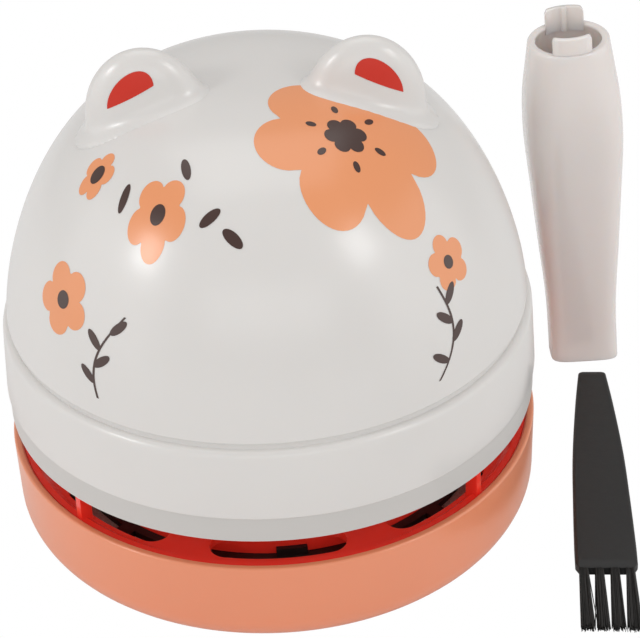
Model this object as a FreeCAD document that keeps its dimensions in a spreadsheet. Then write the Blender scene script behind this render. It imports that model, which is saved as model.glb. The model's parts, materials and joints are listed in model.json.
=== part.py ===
import FreeCAD, Part
import math
import os
import Sketcher

# Desktop mini vacuum cleaner in millimetres.
# The origin is the centre of the suction port's mouth, in the underside of the base.
# +Z is up, and -Y is the front, the side that the ears look to.

os.makedirs("parts", exist_ok=True)
doc = FreeCAD.newDocument("desk_vacuum")
sheet = doc.addObject("Spreadsheet::Sheet", "sizes")

DRIVING_SIZES = {
    # base ring, the dust tray
    "base_radius": 48.3,
    "base_round": 4.6,
    "rim_height": 18.0,
    "ring_wall": 1.4,
    "rim_round": 0.5,
    "floor_thick": 2.0,
    "seat_height": 7.4,
    "seat_width": 3.0,
    "port_wall": 1.6,
    "port_height": 9.0,
    "port_fit": 0.1,
    "gasket_thick": 1.0,
    "foot_radius": 4.0,
    "foot_height": 0.8,
    "foot_recess": 0.4,
    "foot_circle": 39.0,
    "bristle_radius": 15.0,
    "bristle_width": 2.0,
    "bristle_root": 1.0,
    # vent deck and filter
    "deck_drop": 1.5,
    "deck_thick": 1.6,
    "deck_fit": 0.2,
    "deck_rim_width": 1.1,
    "skirt_wall": 1.4,
    "plenum_radius": 36.5,
    "ledge_width": 1.5,
    "ledge_thick": 1.2,
    "slot_inner": 37.2,
    "slot_outer": 43.6,
    "slot_span": 34.0,
    "slot_count": 8,
    "slot_turn": -0.9,
    "rib_height": 7.1,
    "rib_width": 1.2,
    "rib_depth": 2.4,
    "rib_angle": 49.0,
    "media_thick": 1.2,
    "filter_fit": 0.2,
    "filter_thick": 1.2,
    "filter_rim": 1.6,
    "filter_windows": 16,
    "tab_width": 5.4,
    "tab_height": 1.5,
    "tab_thick": 0.9,
    # bottom cover and its neck
    "vent_gap": 6.0,
    "lip_radius": 48.0,
    "lip_height": 4.8,
    "cover_thick": 2.0,
    "spigot_radius": 31.0,
    "spigot_wall": 1.4,
    "spigot_fit": 0.25,
    "shoulder_width": 2.0,
    "shoulder_thick": 1.6,
    "shoulder_gap": 0.1,
    "lug_width": 1.4,
    "lug_thick": 1.7,
    "lug_gap": 0.2,
    "lug_span": 18.0,
    "lug_play": 1.5,
    "lock_turn": 30.0,
    "joint_rib_height": 1.7,
    "joint_rib_wall": 1.4,
    "joint_fit": 0.2,
    # top shell
    "band_top_radius": 47.75,
    "band_height": 13.2,
    "shell_wall": 1.8,
    "crease_radius": 46.3,
    "crease_drop": 1.6,
    "dome_radius": 46.75,
    "dome_height": 43.3,
    "crown_ratio": 1.70,
    "crown_sweep": 14.0,
    "shoulder_ratio": 0.63,
    "shoulder_sweep": 45.0,
    "ear_offset": 18.7,
    "ear_forward": 3.85,
    "ear_level": 39.0,
    "ear_half_width": 10.25,
    "ear_half_depth": 4.5,
    "ear_half_height": 12.5,
    "ear_lean": 1.6,
    "boss_radius": 3.0,
    "boss_circle": 39.0,
    # motor and impeller
    "motor_radius": 12.0,
    "motor_length": 25.0,
    "end_cap_radius": 10.0,
    "end_cap_length": 3.2,
    "pilot_radius": 3.0,
    "pilot_fit": 0.2,
    "shaft_radius": 1.0,
    "shaft_fit": 0.05,
    "shaft_depth": 18.0,
    "bracket_wall": 1.5,
    "bracket_fit": 0.15,
    "bracket_height": 14.0,
    "flange_radius": 21.0,
    "flange_thick": 1.6,
    "bracket_screw_circle": 17.5,
    "under_boss_height": 2.0,
    "impeller_radius": 26.0,
    "backplate_gap": 3.0,
    "backplate_thick": 1.2,
    "blade_height": 7.3,
    "blade_thick": 0.9,
    "blade_count": 8,
    "blade_eye": 9.0,
    "hub_radius": 4.0,
    "hub_floor": 1.0,
    # screws
    "screw_radius": 1.0,
    "screw_fit": 0.05,
    "head_radius": 2.0,
    "head_height": 1.2,
    "cover_screw_length": 8.0,
    "bracket_screw_length": 5.0,
    # battery, board and socket
    "cell_radius": 7.0,
    "cell_length": 43.0,
    "cell_forward": 29.0,
    "cell_fit": 0.1,
    "cradle_floor": 1.2,
    "cradle_wall": 2.0,
    "cradle_height": 7.0,
    "board_width": 22.0,
    "board_length": 17.0,
    "board_thick": 1.2,
    "board_front": 24.0,
    "post_radius": 1.6,
    "post_height": 4.0,
    "post_inset": 2.5,
    "socket_width": 9.0,
    "socket_height": 3.2,
    "socket_length": 7.4,
    "socket_wall": 0.4,
    "socket_fit": 0.3,
    "socket_reach": 45.9,
    "tongue_thick": 0.7,
    # switch
    "switch_azimuth": 115.0,
    "switch_width": 10.0,
    "switch_depth": 6.0,
    "switch_height": 12.0,
    "switch_face": 44.0,
    "knob_width": 7.0,
    "knob_height": 5.0,
    "knob_proud": 0.9,
    "knob_level": 4.0,
    "knob_travel": 3.0,
    "knob_fit": 0.3,
    "plate_thick": 1.0,
    "plate_overlap": 1.0,
    "stem_size": 2.0,
    "stem_reach": 1.2,
    # nozzle
    "nozzle_mouth": 7.7,
    "nozzle_wall": 1.5,
    "nozzle_length": 70.8,
    "nozzle_half_width": 9.75,
    "nozzle_half_depth": 8.5,
    "tip_half_width": 6.4,
    "tip_half_depth": 4.2,
    "tip_round": 1.9,
    "mouth_flat": 0.15,
    "key_length": 3.4,
    "key_width": 7.3,
    "key_step": 0.5,
    "nozzle_right": 64.0,
    "nozzle_back": 37.5,
    "nozzle_lean": 4.1,
    # brush
    "brush_handle_length": 60.5,
    "brush_top_width": 5.3,
    "brush_end_width": 11.2,
    "brush_thick": 2.4,
    "brush_round": 0.8,
    "tuft_count": 4,
    "tuft_length": 16.0,
    "tuft_root_width": 1.8,
    "tuft_tip_width": 2.5,
    "tuft_thick": 1.4,
    "brush_right": 57.9,
    "brush_front": 33.2,
    "brush_turn": 5.7,
}


class Size:
    """A length or angle that carries both its sheet expression and its present value."""

    def __init__(self, text, value):
        self.text = text
        self.value = float(value)

    def __add__(self, other):
        other = as_size(other)
        return Size(f"({self.text} + {other.text})", self.value + other.value)

    def __sub__(self, other):
        other = as_size(other)
        return Size(f"({self.text} - {other.text})", self.value - other.value)

    def __mul__(self, other):
        other = as_size(other)
        return Size(f"({self.text} * {other.text})", self.value * other.value)

    def __truediv__(self, other):
        other = as_size(other)
        return Size(f"({self.text} / {other.text})", self.value / other.value)

    def __neg__(self):
        return Size(f"(0 - {self.text})", -self.value)

    def __radd__(self, other):
        return as_size(other) + self

    def __rsub__(self, other):
        return as_size(other) - self

    def __rmul__(self, other):
        return as_size(other) * self

    def __rtruediv__(self, other):
        return as_size(other) / self


def as_size(number):
    """Wrap a plain number so that it can stand beside named sizes."""
    if isinstance(number, Size):
        return number
    return Size(f"({float(number):.6f})", number)


def fill_sheet():
    """Write every driving size into the sheet and return them by name."""
    named = {}
    for row, (alias, value) in enumerate(DRIVING_SIZES.items(), start=1):
        sheet.set(f"A{row}", alias)
        sheet.set(f"B{row}", str(value))
        sheet.setAlias(f"B{row}", alias)
        named[alias] = Size(f"sizes.{alias}", value)
    doc.recompute()
    return named


size = fill_sheet()


def bind(item, **properties):
    """Tie an object's properties to sheet expressions; two underscores stand for a dot."""
    for name, value in properties.items():
        item.setExpression(name.replace("__", "."), as_size(value).text)


def place(item, x=0.0, y=0.0, z=0.0, turn=None, axis=(0, 0, 1)):
    """Put an object at a bound place, turned by a bound angle about an axis."""
    if turn is not None:
        item.Placement.Rotation = FreeCAD.Rotation(FreeCAD.Vector(*axis), 1.0)
        bind(item, Placement__Rotation__Angle=turn)
    bind(item, Placement__Base__x=x, Placement__Base__y=y, Placement__Base__z=z)
    return item


def ring_place(radius, azimuth):
    """X and Y of a point at an azimuth in degrees, counted from the front towards +X."""
    radius = as_size(radius)
    azimuth = as_size(azimuth)
    angle = math.radians(azimuth.value)
    across = Size(f"({radius.text} * sin({azimuth.text} * 1deg))", radius.value * math.sin(angle))
    ahead = Size(f"(0 - {radius.text} * cos({azimuth.text} * 1deg))", -radius.value * math.cos(angle))
    return across, ahead


def box(name, length, width, height, x, y, z):
    """A block with its low corner at x, y, z."""
    item = doc.addObject("Part::Box", name)
    bind(item, Length=length, Width=width, Height=height)
    return place(item, x, y, z)


def centred_box(name, length, width, height, x, y, z):
    """A block centred on x and y that stands on z."""
    length = as_size(length)
    width = as_size(width)
    return box(name, length, width, height, x - length / 2, y - width / 2, z)


def rod(name, radius, height, x=0.0, y=0.0, z=0.0):
    """An upright cylinder that stands on z."""
    item = doc.addObject("Part::Cylinder", name)
    bind(item, Radius=radius, Height=height)
    return place(item, x, y, z)


def sector(name, outer, inner, span, middle, low, height):
    """A piece of an upright ring wall, centred on an azimuth; all angles in degrees."""
    pieces = []
    for suffix, radius, extra in (("outer", outer, 0.0), ("inner", inner, 1.0)):
        item = doc.addObject("Part::Cylinder", f"{name}_{suffix}")
        start = as_size(middle) - as_size(span) / 2 - 90 - extra
        bind(item, Radius=radius, Height=as_size(height) + 2 * extra, Angle=as_size(span) + 2 * extra)
        place(item, z=as_size(low) - extra, turn=start)
        pieces.append(item)
    return cut(name, pieces[0], [pieces[1]])


def cut(name, base, tools):
    """Take tools away from a base."""
    item = doc.addObject("Part::Cut", name)
    item.Base = base
    item.Tool = tools[0] if len(tools) == 1 else fuse(f"{name}_tools", tools)
    return item


def fuse(name, members):
    """Join overlapping pieces into one."""
    item = doc.addObject("Part::MultiFuse", name)
    item.Shapes = members
    item.Refine = True
    return item


def group(name, members):
    """Keep separate like solids in one node."""
    item = doc.addObject("Part::Compound", name)
    item.Links = members
    return item


def origin_plane(body, role):
    """One of a body's own origin planes."""
    return [feature for feature in body.Origin.OriginFeatures if feature.Role == role][0]


def profile_sketch(body, name, role, corners):
    """A closed polygon on an origin plane, with every corner tied to the sheet."""
    sketch = body.newObject("Sketcher::SketchObject", name)
    sketch.AttachmentSupport = [(origin_plane(body, role), "")]
    sketch.MapMode = "FlatFace"
    corners = [(as_size(across), as_size(up)) for across, up in corners]
    count = len(corners)
    for index in range(count):
        start = corners[index]
        end = corners[(index + 1) % count]
        sketch.addGeometry(Part.LineSegment(FreeCAD.Vector(start[0].value, start[1].value, 0),
                                            FreeCAD.Vector(end[0].value, end[1].value, 0)))
    for index in range(count):
        sketch.addConstraint(Sketcher.Constraint("Coincident", index, 2, (index + 1) % count, 1))
    for index, (across, up) in enumerate(corners):
        for kind, letter, value in (("DistanceX", "across", across), ("DistanceY", "up", up)):
            number = sketch.addConstraint(Sketcher.Constraint(kind, -1, 1, index, 1, value.value))
            sketch.renameConstraint(number, f"{letter}{index}")
            sketch.setExpression(f"Constraints.{letter}{index}", value.text)
    return sketch


def turned(name, corners):
    """A body of revolution about Z from a polygon of radius and height."""
    body = doc.addObject("PartDesign::Body", name)
    sketch = profile_sketch(body, f"{name}_profile", "XZ_Plane", corners)
    revolution = body.newObject("PartDesign::Revolution", f"{name}_turned")
    revolution.Profile = sketch
    revolution.ReferenceAxis = (sketch, ["V_Axis"])
    revolution.Angle = 360
    doc.recompute()
    return body


def edges_where(feature, test):
    """Names of the edges that pass a test."""
    return [f"Edge{number}" for number, edge in enumerate(feature.Shape.Edges, start=1) if test(edge)]


def round_edges(body, name, radius, test):
    """Fillet the edges of a body's tip that pass a test."""
    base = body.Tip
    fillet = body.newObject("PartDesign::Fillet", name)
    fillet.Base = (base, edges_where(base, test))
    bind(fillet, Radius=radius)
    doc.recompute()


def circle_at(radius, height):
    """A test for a circular edge of a given radius at a given height."""
    def test(edge):
        if edge.Curve.TypeId != "Part::GeomCircle":
            return False
        same_radius = abs(edge.Curve.Radius - radius.value) < 0.01
        return same_radius and abs(edge.Curve.Center.z - height.value) < 0.01
    return test


# Levels and radii that several pieces share
floor_top = size["floor_thick"]
ground = -size["foot_height"]
tray_bore = size["base_radius"] - size["ring_wall"]
seat_bore = tray_bore - size["seat_width"]
port_radius = size["nozzle_mouth"] - size["key_step"] + size["port_fit"]
collar_radius = port_radius + size["port_wall"]
skirt_low = size["seat_height"] + size["gasket_thick"]
deck_top = size["rim_height"] - size["deck_drop"]
deck_low = deck_top - size["deck_thick"]
deck_radius = tray_bore - size["deck_fit"]
skirt_inner = deck_radius - size["skirt_wall"]
ledge_top = skirt_low + size["ledge_thick"]
cover_low = size["rim_height"] + size["vent_gap"]
cover_top = cover_low + size["cover_thick"]
lip_top = cover_low + size["lip_height"]
shell_bottom_radius = size["base_radius"] + 0.0
shell_bore = shell_bottom_radius - size["shell_wall"]
joint_rib_radius = shell_bore - size["joint_fit"]
joint_rib_bore = joint_rib_radius - size["joint_rib_wall"]
band_top = lip_top + size["band_height"]
dome_foot = band_top + size["crease_drop"]
deck_hole = size["spigot_radius"] + size["spigot_fit"]
lug_top = deck_low - size["lug_gap"]
lug_low = lug_top - size["lug_thick"]
lug_radius = size["spigot_radius"] + size["lug_width"]
motor_top = cover_top + size["motor_length"]
shaft_bore = size["shaft_radius"] + size["shaft_fit"]
backplate_top = cover_low - size["backplate_gap"]
backplate_low = backplate_top - size["backplate_thick"]
blade_low = backplate_low - size["blade_height"]
screw_hole = size["screw_radius"] + size["screw_fit"]
FOOT_AZIMUTHS = (45, 135, 225, 315)
BOSS_AZIMUTHS = (65, 150, 210, 295)
LUG_AZIMUTHS = (0, 120, 240)
RIB_SIDES = (1, -1)
BRACKET_SIDES = (1, -1)


def base_ring():
    """The coloured outer ring with the dust tray's floor, one moulding."""
    tray = turned("tray_form", [
        (collar_radius, 0.0),
        (size["base_radius"], 0.0),
        (size["base_radius"], size["rim_height"]),
        (tray_bore, size["rim_height"]),
        (tray_bore, size["seat_height"]),
        (seat_bore, size["seat_height"]),
        (seat_bore, floor_top),
        (collar_radius, floor_top),
    ])
    round_edges(tray, "tray_bottom_round", size["base_round"], circle_at(size["base_radius"], as_size(0)))
    round_edges(tray, "tray_rim_round", size["rim_round"], circle_at(size["base_radius"], size["rim_height"]))
    recesses = []
    for number, azimuth in enumerate(FOOT_AZIMUTHS, start=1):
        x, y = ring_place(size["foot_circle"], azimuth)
        recesses.append(rod(f"foot_recess_{number}", size["foot_radius"], size["foot_recess"] + 1, x, y, -1.0))
    groove = sector_ring("bristle_groove", size["bristle_radius"] + size["bristle_width"],
                         size["bristle_radius"], -1.0, size["bristle_root"] + 1)
    return cut("base_ring", tray, recesses + [groove])


def suction_collar():
    """The port's collar, pressed into the tray's floor, which keeps the dust in when the machine is lifted."""
    return turned("suction_collar", [
        (port_radius, 0.0),
        (collar_radius, 0.0),
        (collar_radius, size["port_height"]),
        (port_radius, size["port_height"]),
    ])


def sector_ring(name, outer, inner, low, height):
    """A full ring wall that stands on a level."""
    outside = rod(f"{name}_outside", outer, height, z=low)
    inside = rod(f"{name}_inside", inner, as_size(height) + 2, z=as_size(low) - 1)
    return cut(name, outside, [inside])


def rubber_feet():
    """Four round pads that carry the base."""
    pads = []
    for number, azimuth in enumerate(FOOT_AZIMUTHS, start=1):
        x, y = ring_place(size["foot_circle"], azimuth)
        pads.append(rod(f"foot_{number}", size["foot_radius"], size["foot_height"] + size["foot_recess"], x, y, ground))
    return group("rubber_feet", pads)


def inlet_bristles():
    """The ring of nylon bristles round the port, which sweeps the desk."""
    reach = size["foot_height"] - 0.1
    return sector_ring("inlet_bristles", size["bristle_radius"] + size["bristle_width"],
                       size["bristle_radius"], -reach, size["bristle_root"] + reach)


def tray_gasket():
    """The flat seal that the deck's skirt presses on."""
    return sector_ring("tray_gasket", tray_bore - 0.05, seat_bore, size["seat_height"], size["gasket_thick"])


def slot_tool(number, azimuth):
    """The cutter of one round-ended vent slot."""
    middle = (size["slot_outer"] + size["slot_inner"]) / 2
    half = (size["slot_outer"] - size["slot_inner"]) / 2
    low = deck_low - 1
    height = size["deck_thick"] + 2
    end_angle = Size(f"({half.text} / {middle.text} * 180 / pi)", math.degrees(half.value / middle.value))
    straight = size["slot_span"] - end_angle * 2
    pieces = [sector(f"slot_{number}_run", size["slot_outer"], size["slot_inner"], straight, azimuth, low, height)]
    for side in (1, -1):
        x, y = ring_place(middle, azimuth + straight / 2 * side)
        pieces.append(rod(f"slot_{number}_end_{'ab'[side > 0]}", half, height, x, y, low))
    return fuse(f"slot_{number}", pieces)


def vent_deck():
    """The deck under the air gap: slotted plate, skirts, filter ledges and locating ribs."""
    inner_outside = size["plenum_radius"]
    inner_inside = inner_outside - size["skirt_wall"]
    deck = turned("deck_form", [
        (deck_hole, deck_low),
        (inner_inside, deck_low),
        (inner_inside, skirt_low),
        (inner_outside + size["ledge_width"], skirt_low),
        (inner_outside + size["ledge_width"], ledge_top),
        (inner_outside, ledge_top),
        (inner_outside, deck_low),
        (skirt_inner, deck_low),
        (skirt_inner, ledge_top),
        (skirt_inner - size["ledge_width"], ledge_top),
        (skirt_inner - size["ledge_width"], skirt_low),
        (deck_radius, skirt_low),
        (deck_radius, size["rim_height"] - size["rim_round"]),
        (deck_radius - size["deck_rim_width"], size["rim_height"] - size["rim_round"]),
        (deck_radius - size["deck_rim_width"] * 2, deck_top),
        (deck_hole, deck_top),
    ])
    slots = []
    for number in range(DRIVING_SIZES["slot_count"]):
        azimuth = size["slot_turn"] + 360.0 / size["slot_count"] * number
        slots.append(slot_tool(number + 1, azimuth))
    for number, azimuth in enumerate(LUG_AZIMUTHS, start=1):
        slots.append(sector(f"lug_notch_{number}", lug_radius + size["lug_gap"], deck_hole - 1,
                            size["lug_span"] + size["lug_play"] * 2, azimuth + size["lock_turn"],
                            deck_low - 1, size["deck_thick"] + 2))
    pierced = cut("deck_pierced", deck, slots)
    ribs = []
    for side in RIB_SIDES:
        for azimuth in (size["rib_angle"] * side, (180 - size["rib_angle"]) * side):
            ribs.append(rib(f"locating_rib_{len(ribs) + 1}", azimuth))
    return fuse("vent_deck", [pierced] + ribs)


def rib(name, azimuth):
    """One upright rib at the deck's edge, which stands just under the cover's lip."""
    item = doc.addObject("Part::Box", name)
    bind(item, Length=size["rib_width"], Width=size["rib_depth"], Height=size["rib_height"] + size["deck_thick"] / 2)
    half = size["rib_width"] / 2
    outer_x, outer_y = ring_place(deck_radius - size["rib_width"] / 8, azimuth)
    side_x, side_y = ring_place(half, as_size(azimuth) + 90)
    return place(item, outer_x - side_x, outer_y - side_y, deck_top - size["deck_thick"] / 2, turn=azimuth)


def filter_media():
    """The felt ring that holds back fine dust."""
    return sector_ring("filter_media", skirt_inner - size["filter_fit"],
                       size["plenum_radius"] + size["filter_fit"], ledge_top, size["media_thick"])


def filter_frame():
    """The black grille ring on the felt, with four finger tabs."""
    low = ledge_top + size["media_thick"]
    outer = skirt_inner - size["filter_fit"]
    inner = size["plenum_radius"] + size["filter_fit"]
    ring = sector_ring("filter_ring", outer, inner, low, size["filter_thick"])
    pitch = 360.0 / size["filter_windows"]
    windows = []
    for number in range(DRIVING_SIZES["filter_windows"]):
        windows.append(sector(f"filter_window_{number + 1}", outer - size["filter_rim"], inner + size["filter_rim"],
                              pitch * 0.8, pitch * (number + 0.5), low - 1, size["filter_thick"] + 2))
    grille = cut("filter_grille", ring, windows)
    tab_span = Size(f"({size['tab_width'].text} / {inner.text} * 180 / pi)",
                    math.degrees(size["tab_width"].value / inner.value))
    tabs = []
    for number in range(4):
        tabs.append(sector(f"filter_tab_{number + 1}", inner + size["tab_thick"], inner, tab_span,
                           90.0 * number + 2.6, low, size["filter_thick"] + size["tab_height"]))
    return fuse("filter_frame", [grille] + tabs)


def screw(name, x, y, low, length, head_up):
    """A round-headed screw, head up or down, with its head's seat at the given level."""
    if head_up:
        shank = rod(f"{name}_shank", size["screw_radius"], length + 0.1, x, y, low - length)
        head = rod(f"{name}_head", size["head_radius"], size["head_height"], x, y, low)
    else:
        shank = rod(f"{name}_shank", size["screw_radius"], length + 0.1, x, y, low - 0.1)
        head = rod(f"{name}_head", size["head_radius"], size["head_height"], x, y, low - size["head_height"])
    return fuse(name, [shank, head])


def bottom_cover():
    """The pale grey cover: lip, floor, neck that enters the deck, posts and screw holes."""
    spigot_bore = size["spigot_radius"] - size["spigot_wall"]
    shoulder_low = deck_top + size["shoulder_gap"]
    shoulder_radius = size["spigot_radius"] + size["shoulder_width"]
    form = turned("cover_form", [
        (size["pilot_radius"] + size["pilot_fit"], cover_low),
        (spigot_bore, cover_low),
        (spigot_bore, lug_low),
        (size["spigot_radius"], lug_low),
        (size["spigot_radius"], shoulder_low),
        (shoulder_radius, shoulder_low),
        (shoulder_radius, shoulder_low + size["shoulder_thick"]),
        (size["spigot_radius"], shoulder_low + size["shoulder_thick"]),
        (size["spigot_radius"], cover_low),
        (size["lip_radius"], cover_low),
        (size["lip_radius"], lip_top),
        (joint_rib_radius, lip_top),
        (joint_rib_radius, lip_top + size["joint_rib_height"]),
        (joint_rib_bore, lip_top + size["joint_rib_height"]),
        (joint_rib_bore, cover_top),
        (size["pilot_radius"] + size["pilot_fit"], cover_top),
    ])
    additions = []
    for number, azimuth in enumerate(LUG_AZIMUTHS, start=1):
        additions.append(sector(f"lug_{number}", lug_radius, spigot_bore + 0.4, size["lug_span"],
                                azimuth, lug_low, size["lug_thick"]))
    for side in BRACKET_SIDES:
        additions.append(rod(f"under_boss_{'ab'[side > 0]}", size["screw_radius"] * 2.6, size["under_boss_height"] + 0.5,
                             size["bracket_screw_circle"] * side, 0.0, cover_low - size["under_boss_height"]))
    for number, (x, y) in enumerate(post_places(), start=1):
        additions.append(rod(f"board_post_{number}", size["post_radius"], size["post_height"] + 0.5, x, y,
                             cover_top - 0.5))
    solid = fuse("cover_solid", [form] + additions)
    holes = []
    for side in BRACKET_SIDES:
        holes.append(rod(f"bracket_hole_{'ab'[side > 0]}", screw_hole, size["cover_thick"] + 8,
                         size["bracket_screw_circle"] * side, 0.0, cover_low - 4))
    for number, azimuth in enumerate(BOSS_AZIMUTHS, start=1):
        x, y = ring_place(size["boss_circle"], azimuth)
        holes.append(rod(f"cover_hole_{number}", screw_hole, size["cover_thick"] + 4, x, y, cover_low - 2))
    notch = centred_box("switch_notch", size["switch_depth"], size["switch_width"] + 1,
                        size["joint_rib_height"] + 1, joint_rib_bore, 0.0, lip_top)
    holes.append(turned_to_switch("switch_notch_turned", notch))
    return cut("bottom_cover", solid, holes)


def turned_to_switch(name, item):
    """Carry a piece built on the +X side round to the switch's azimuth."""
    carrier = doc.addObject("Part::Compound", name)
    carrier.Links = [item]
    return place(carrier, turn=size["switch_azimuth"] - 90)


def post_places():
    """Centres of the four posts under the circuit board."""
    across = size["board_width"] / 2 - size["post_inset"]
    near = size["board_front"] + size["post_inset"]
    far = size["board_front"] + size["board_length"] - size["post_inset"]
    return [(across, near), (-across, near), (across, far), (-across, far)]


def cover_screws():
    """Four screws up through the cover into the shell's bosses."""
    members = []
    for number, azimuth in enumerate(BOSS_AZIMUTHS, start=1):
        x, y = ring_place(size["boss_circle"], azimuth)
        members.append(screw(f"cover_screw_{number}", x, y, cover_low, size["cover_screw_length"], False))
    return group("cover_screws", members)


def dome_outline(radius, height, foot, trim):
    """The dome's outline from the axis down to its foot: crown, shoulder and side, three tangent arcs."""
    crown = size["dome_radius"].value * size["crown_ratio"].value - trim
    shoulder = size["dome_radius"].value * size["shoulder_ratio"].value - trim
    crown_sweep = math.radians(size["crown_sweep"].value)
    shoulder_end = crown_sweep + math.radians(size["shoulder_sweep"].value)

    def on_arc(centre, round_radius, angle):
        return centre[0] + round_radius * math.sin(angle), centre[1] + round_radius * math.cos(angle)

    crown_centre = (0.0, foot + height - crown)
    first = on_arc(crown_centre, crown, crown_sweep)
    shoulder_centre = on_arc(first, -shoulder, crown_sweep)
    second = on_arc(shoulder_centre, shoulder, shoulder_end)
    along = (math.cos(shoulder_end), -math.sin(shoulder_end))
    chord = (radius - second[0], foot - second[1])
    turn = math.atan2(along[0] * chord[1] - along[1] * chord[0], along[0] * chord[0] + along[1] * chord[1])
    side_round = -math.hypot(*chord) / 2 / math.sin(turn)
    side_centre = on_arc(second, -side_round, shoulder_end)
    middle = on_arc(side_centre, side_round, shoulder_end - turn)
    return [
        arc((0.0, foot + height), on_arc(crown_centre, crown, crown_sweep / 2), first),
        arc(first, on_arc(shoulder_centre, shoulder, (crown_sweep + shoulder_end) / 2), second),
        arc(second, middle, (radius, foot)),
    ]


def ear_solid(side):
    """One rounded ear, an ellipsoid that stands in the dome's crown."""
    matrix = FreeCAD.Matrix()
    matrix.scale(size["ear_half_width"].value, size["ear_half_depth"].value, size["ear_half_height"].value)
    ear = Part.makeSphere(1.0).transformGeometry(matrix)
    ear.rotate(FreeCAD.Vector(0, 0, 0), FreeCAD.Vector(0, 1, 0), size["ear_lean"].value * side)
    ear.translate(FreeCAD.Vector(size["ear_offset"].value * side, -size["ear_forward"].value,
                                 dome_foot.value + size["ear_level"].value))
    return ear


def line(start, end):
    """A straight edge in the profile plane."""
    return Part.makeLine(FreeCAD.Vector(start[0], 0, start[1]), FreeCAD.Vector(end[0], 0, end[1]))


def arc(start, middle, end):
    """A round edge in the profile plane through three points."""
    return Part.Arc(*(FreeCAD.Vector(x, 0, z) for x, z in (start, middle, end))).toShape()


def revolved_face(edges):
    """Turn a closed outline in the profile plane about Z."""
    face = Part.Face(Part.Wire(Part.__sortEdges__(edges)))
    return face.revolve(FreeCAD.Vector(0, 0, 0), FreeCAD.Vector(0, 0, 1), 360)


def shell_outside():
    """The outer form of the shell: band, soft shoulder, crease and dome."""
    low = (shell_bottom_radius.value, lip_top.value)
    high = (size["band_top_radius"].value, band_top.value - size["crease_drop"].value)
    crease = (size["crease_radius"].value, band_top.value)
    foot = (size["dome_radius"].value, dome_foot.value)
    reach = high[0] - crease[0]
    drop = crease[1] - high[1]
    shoulder = (crease[0] + reach * 0.75, crease[1] - drop * 0.32)
    valley = (crease[0] + 0.02, crease[1] + size["crease_drop"].value * 0.45)
    edges = [
        line((0, low[1]), low),
        line(low, high),
        arc(high, shoulder, crease),
        arc(crease, valley, foot),
        *dome_outline(foot[0], size["dome_height"].value, foot[1], 0.0),
        line((0, dome_foot.value + size["dome_height"].value), (0, low[1])),
    ]
    return revolved_face(edges)


def shell_inside():
    """The hollow of the shell, drafted in straight steps as its core would be."""
    wall = size["shell_wall"].value
    high = size["dome_height"].value - wall
    foot = dome_foot.value
    reach = size["crease_radius"].value - wall
    corners = [(0.0, lip_top.value), (shell_bore.value, lip_top.value),
               (size["band_top_radius"].value - wall, band_top.value - size["crease_drop"].value),
               (reach, foot)]
    for across, up in ((0.955, 0.30), (0.86, 0.54), (0.68, 0.78), (0.44, 0.93), (0.18, 1.0), (0.0, 1.0)):
        corners.append((reach * across, foot + high * up))
    edges = [line(start, end) for start, end in zip(corners, corners[1:] + corners[:1])]
    return revolved_face(edges)


def shell_bosses(outside):
    """Four screw bosses that hang from the dome down to the cover, each with its pilot hole."""
    bosses = []
    holes = []
    for azimuth in BOSS_AZIMUTHS:
        x, y = ring_place(size["boss_circle"], azimuth)
        low = FreeCAD.Vector(x.value, y.value, cover_top.value)
        pillar = Part.makeCylinder(size["boss_radius"].value, size["dome_height"].value + 30, low)
        bosses.append(pillar.common(outside_above_cover(outside)))
        holes.append(Part.makeCylinder(screw_hole.value, size["cover_screw_length"].value, low))
    return bosses, holes


def outside_above_cover(outside):
    """The shell's outer form carried down to the cover's floor, the room that a boss may fill."""
    skirt = Part.makeCylinder(joint_rib_bore.value, lip_top.value - cover_top.value,
                              FreeCAD.Vector(0, 0, cover_top.value))
    return outside.fuse(skirt)


def socket_cutter():
    """The charging socket's opening through the band."""
    width = size["socket_width"].value + 2 * size["socket_fit"].value
    height = size["socket_height"].value + 2 * size["socket_fit"].value
    low = cover_top.value + size["post_height"].value + size["board_thick"].value - size["socket_fit"].value
    cutter = Part.makeBox(width, 10, height, FreeCAD.Vector(-width / 2, size["socket_reach"].value - 2, low))
    return cutter


def knob_window():
    """The switch knob's window through the band."""
    fit = size["knob_fit"].value
    width = size["knob_width"].value + 2 * fit
    height = size["knob_height"].value + size["knob_travel"].value + 2 * fit
    centre = lip_top.value + size["knob_level"].value
    low = centre - size["knob_height"].value / 2 - fit
    window = Part.makeBox(10, width, height, FreeCAD.Vector(size["switch_face"].value, -width / 2, low))
    window.rotate(FreeCAD.Vector(0, 0, 0), FreeCAD.Vector(0, 0, 1), size["switch_azimuth"].value - 90)
    return window


def top_shell():
    """The one-piece white shell: band, dome, two ears, bosses, window and socket opening."""
    outside = shell_outside()
    inside = shell_inside()
    bosses, holes = shell_bosses(outside)
    shell = outside.fuse([ear_solid(1), ear_solid(-1)]).cut(inside)
    shell = shell.fuse(bosses)
    shell = shell.cut(holes + [socket_cutter(), knob_window()])
    item = doc.addObject("Part::Feature", "top_shell")
    item.Shape = shell.Solids[0] if len(shell.Solids) == 1 else shell
    return item


def motor_can():
    """The motor's steel can with its front boss and the shaft's bore."""
    bore_top = cover_top + size["shaft_depth"]
    return turned("motor_can", [
        (shaft_bore, cover_low),
        (size["pilot_radius"], cover_low),
        (size["pilot_radius"], cover_top),
        (size["motor_radius"], cover_top),
        (size["motor_radius"], motor_top),
        (0.0, motor_top),
        (0.0, bore_top),
        (shaft_bore, bore_top),
    ])


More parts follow.
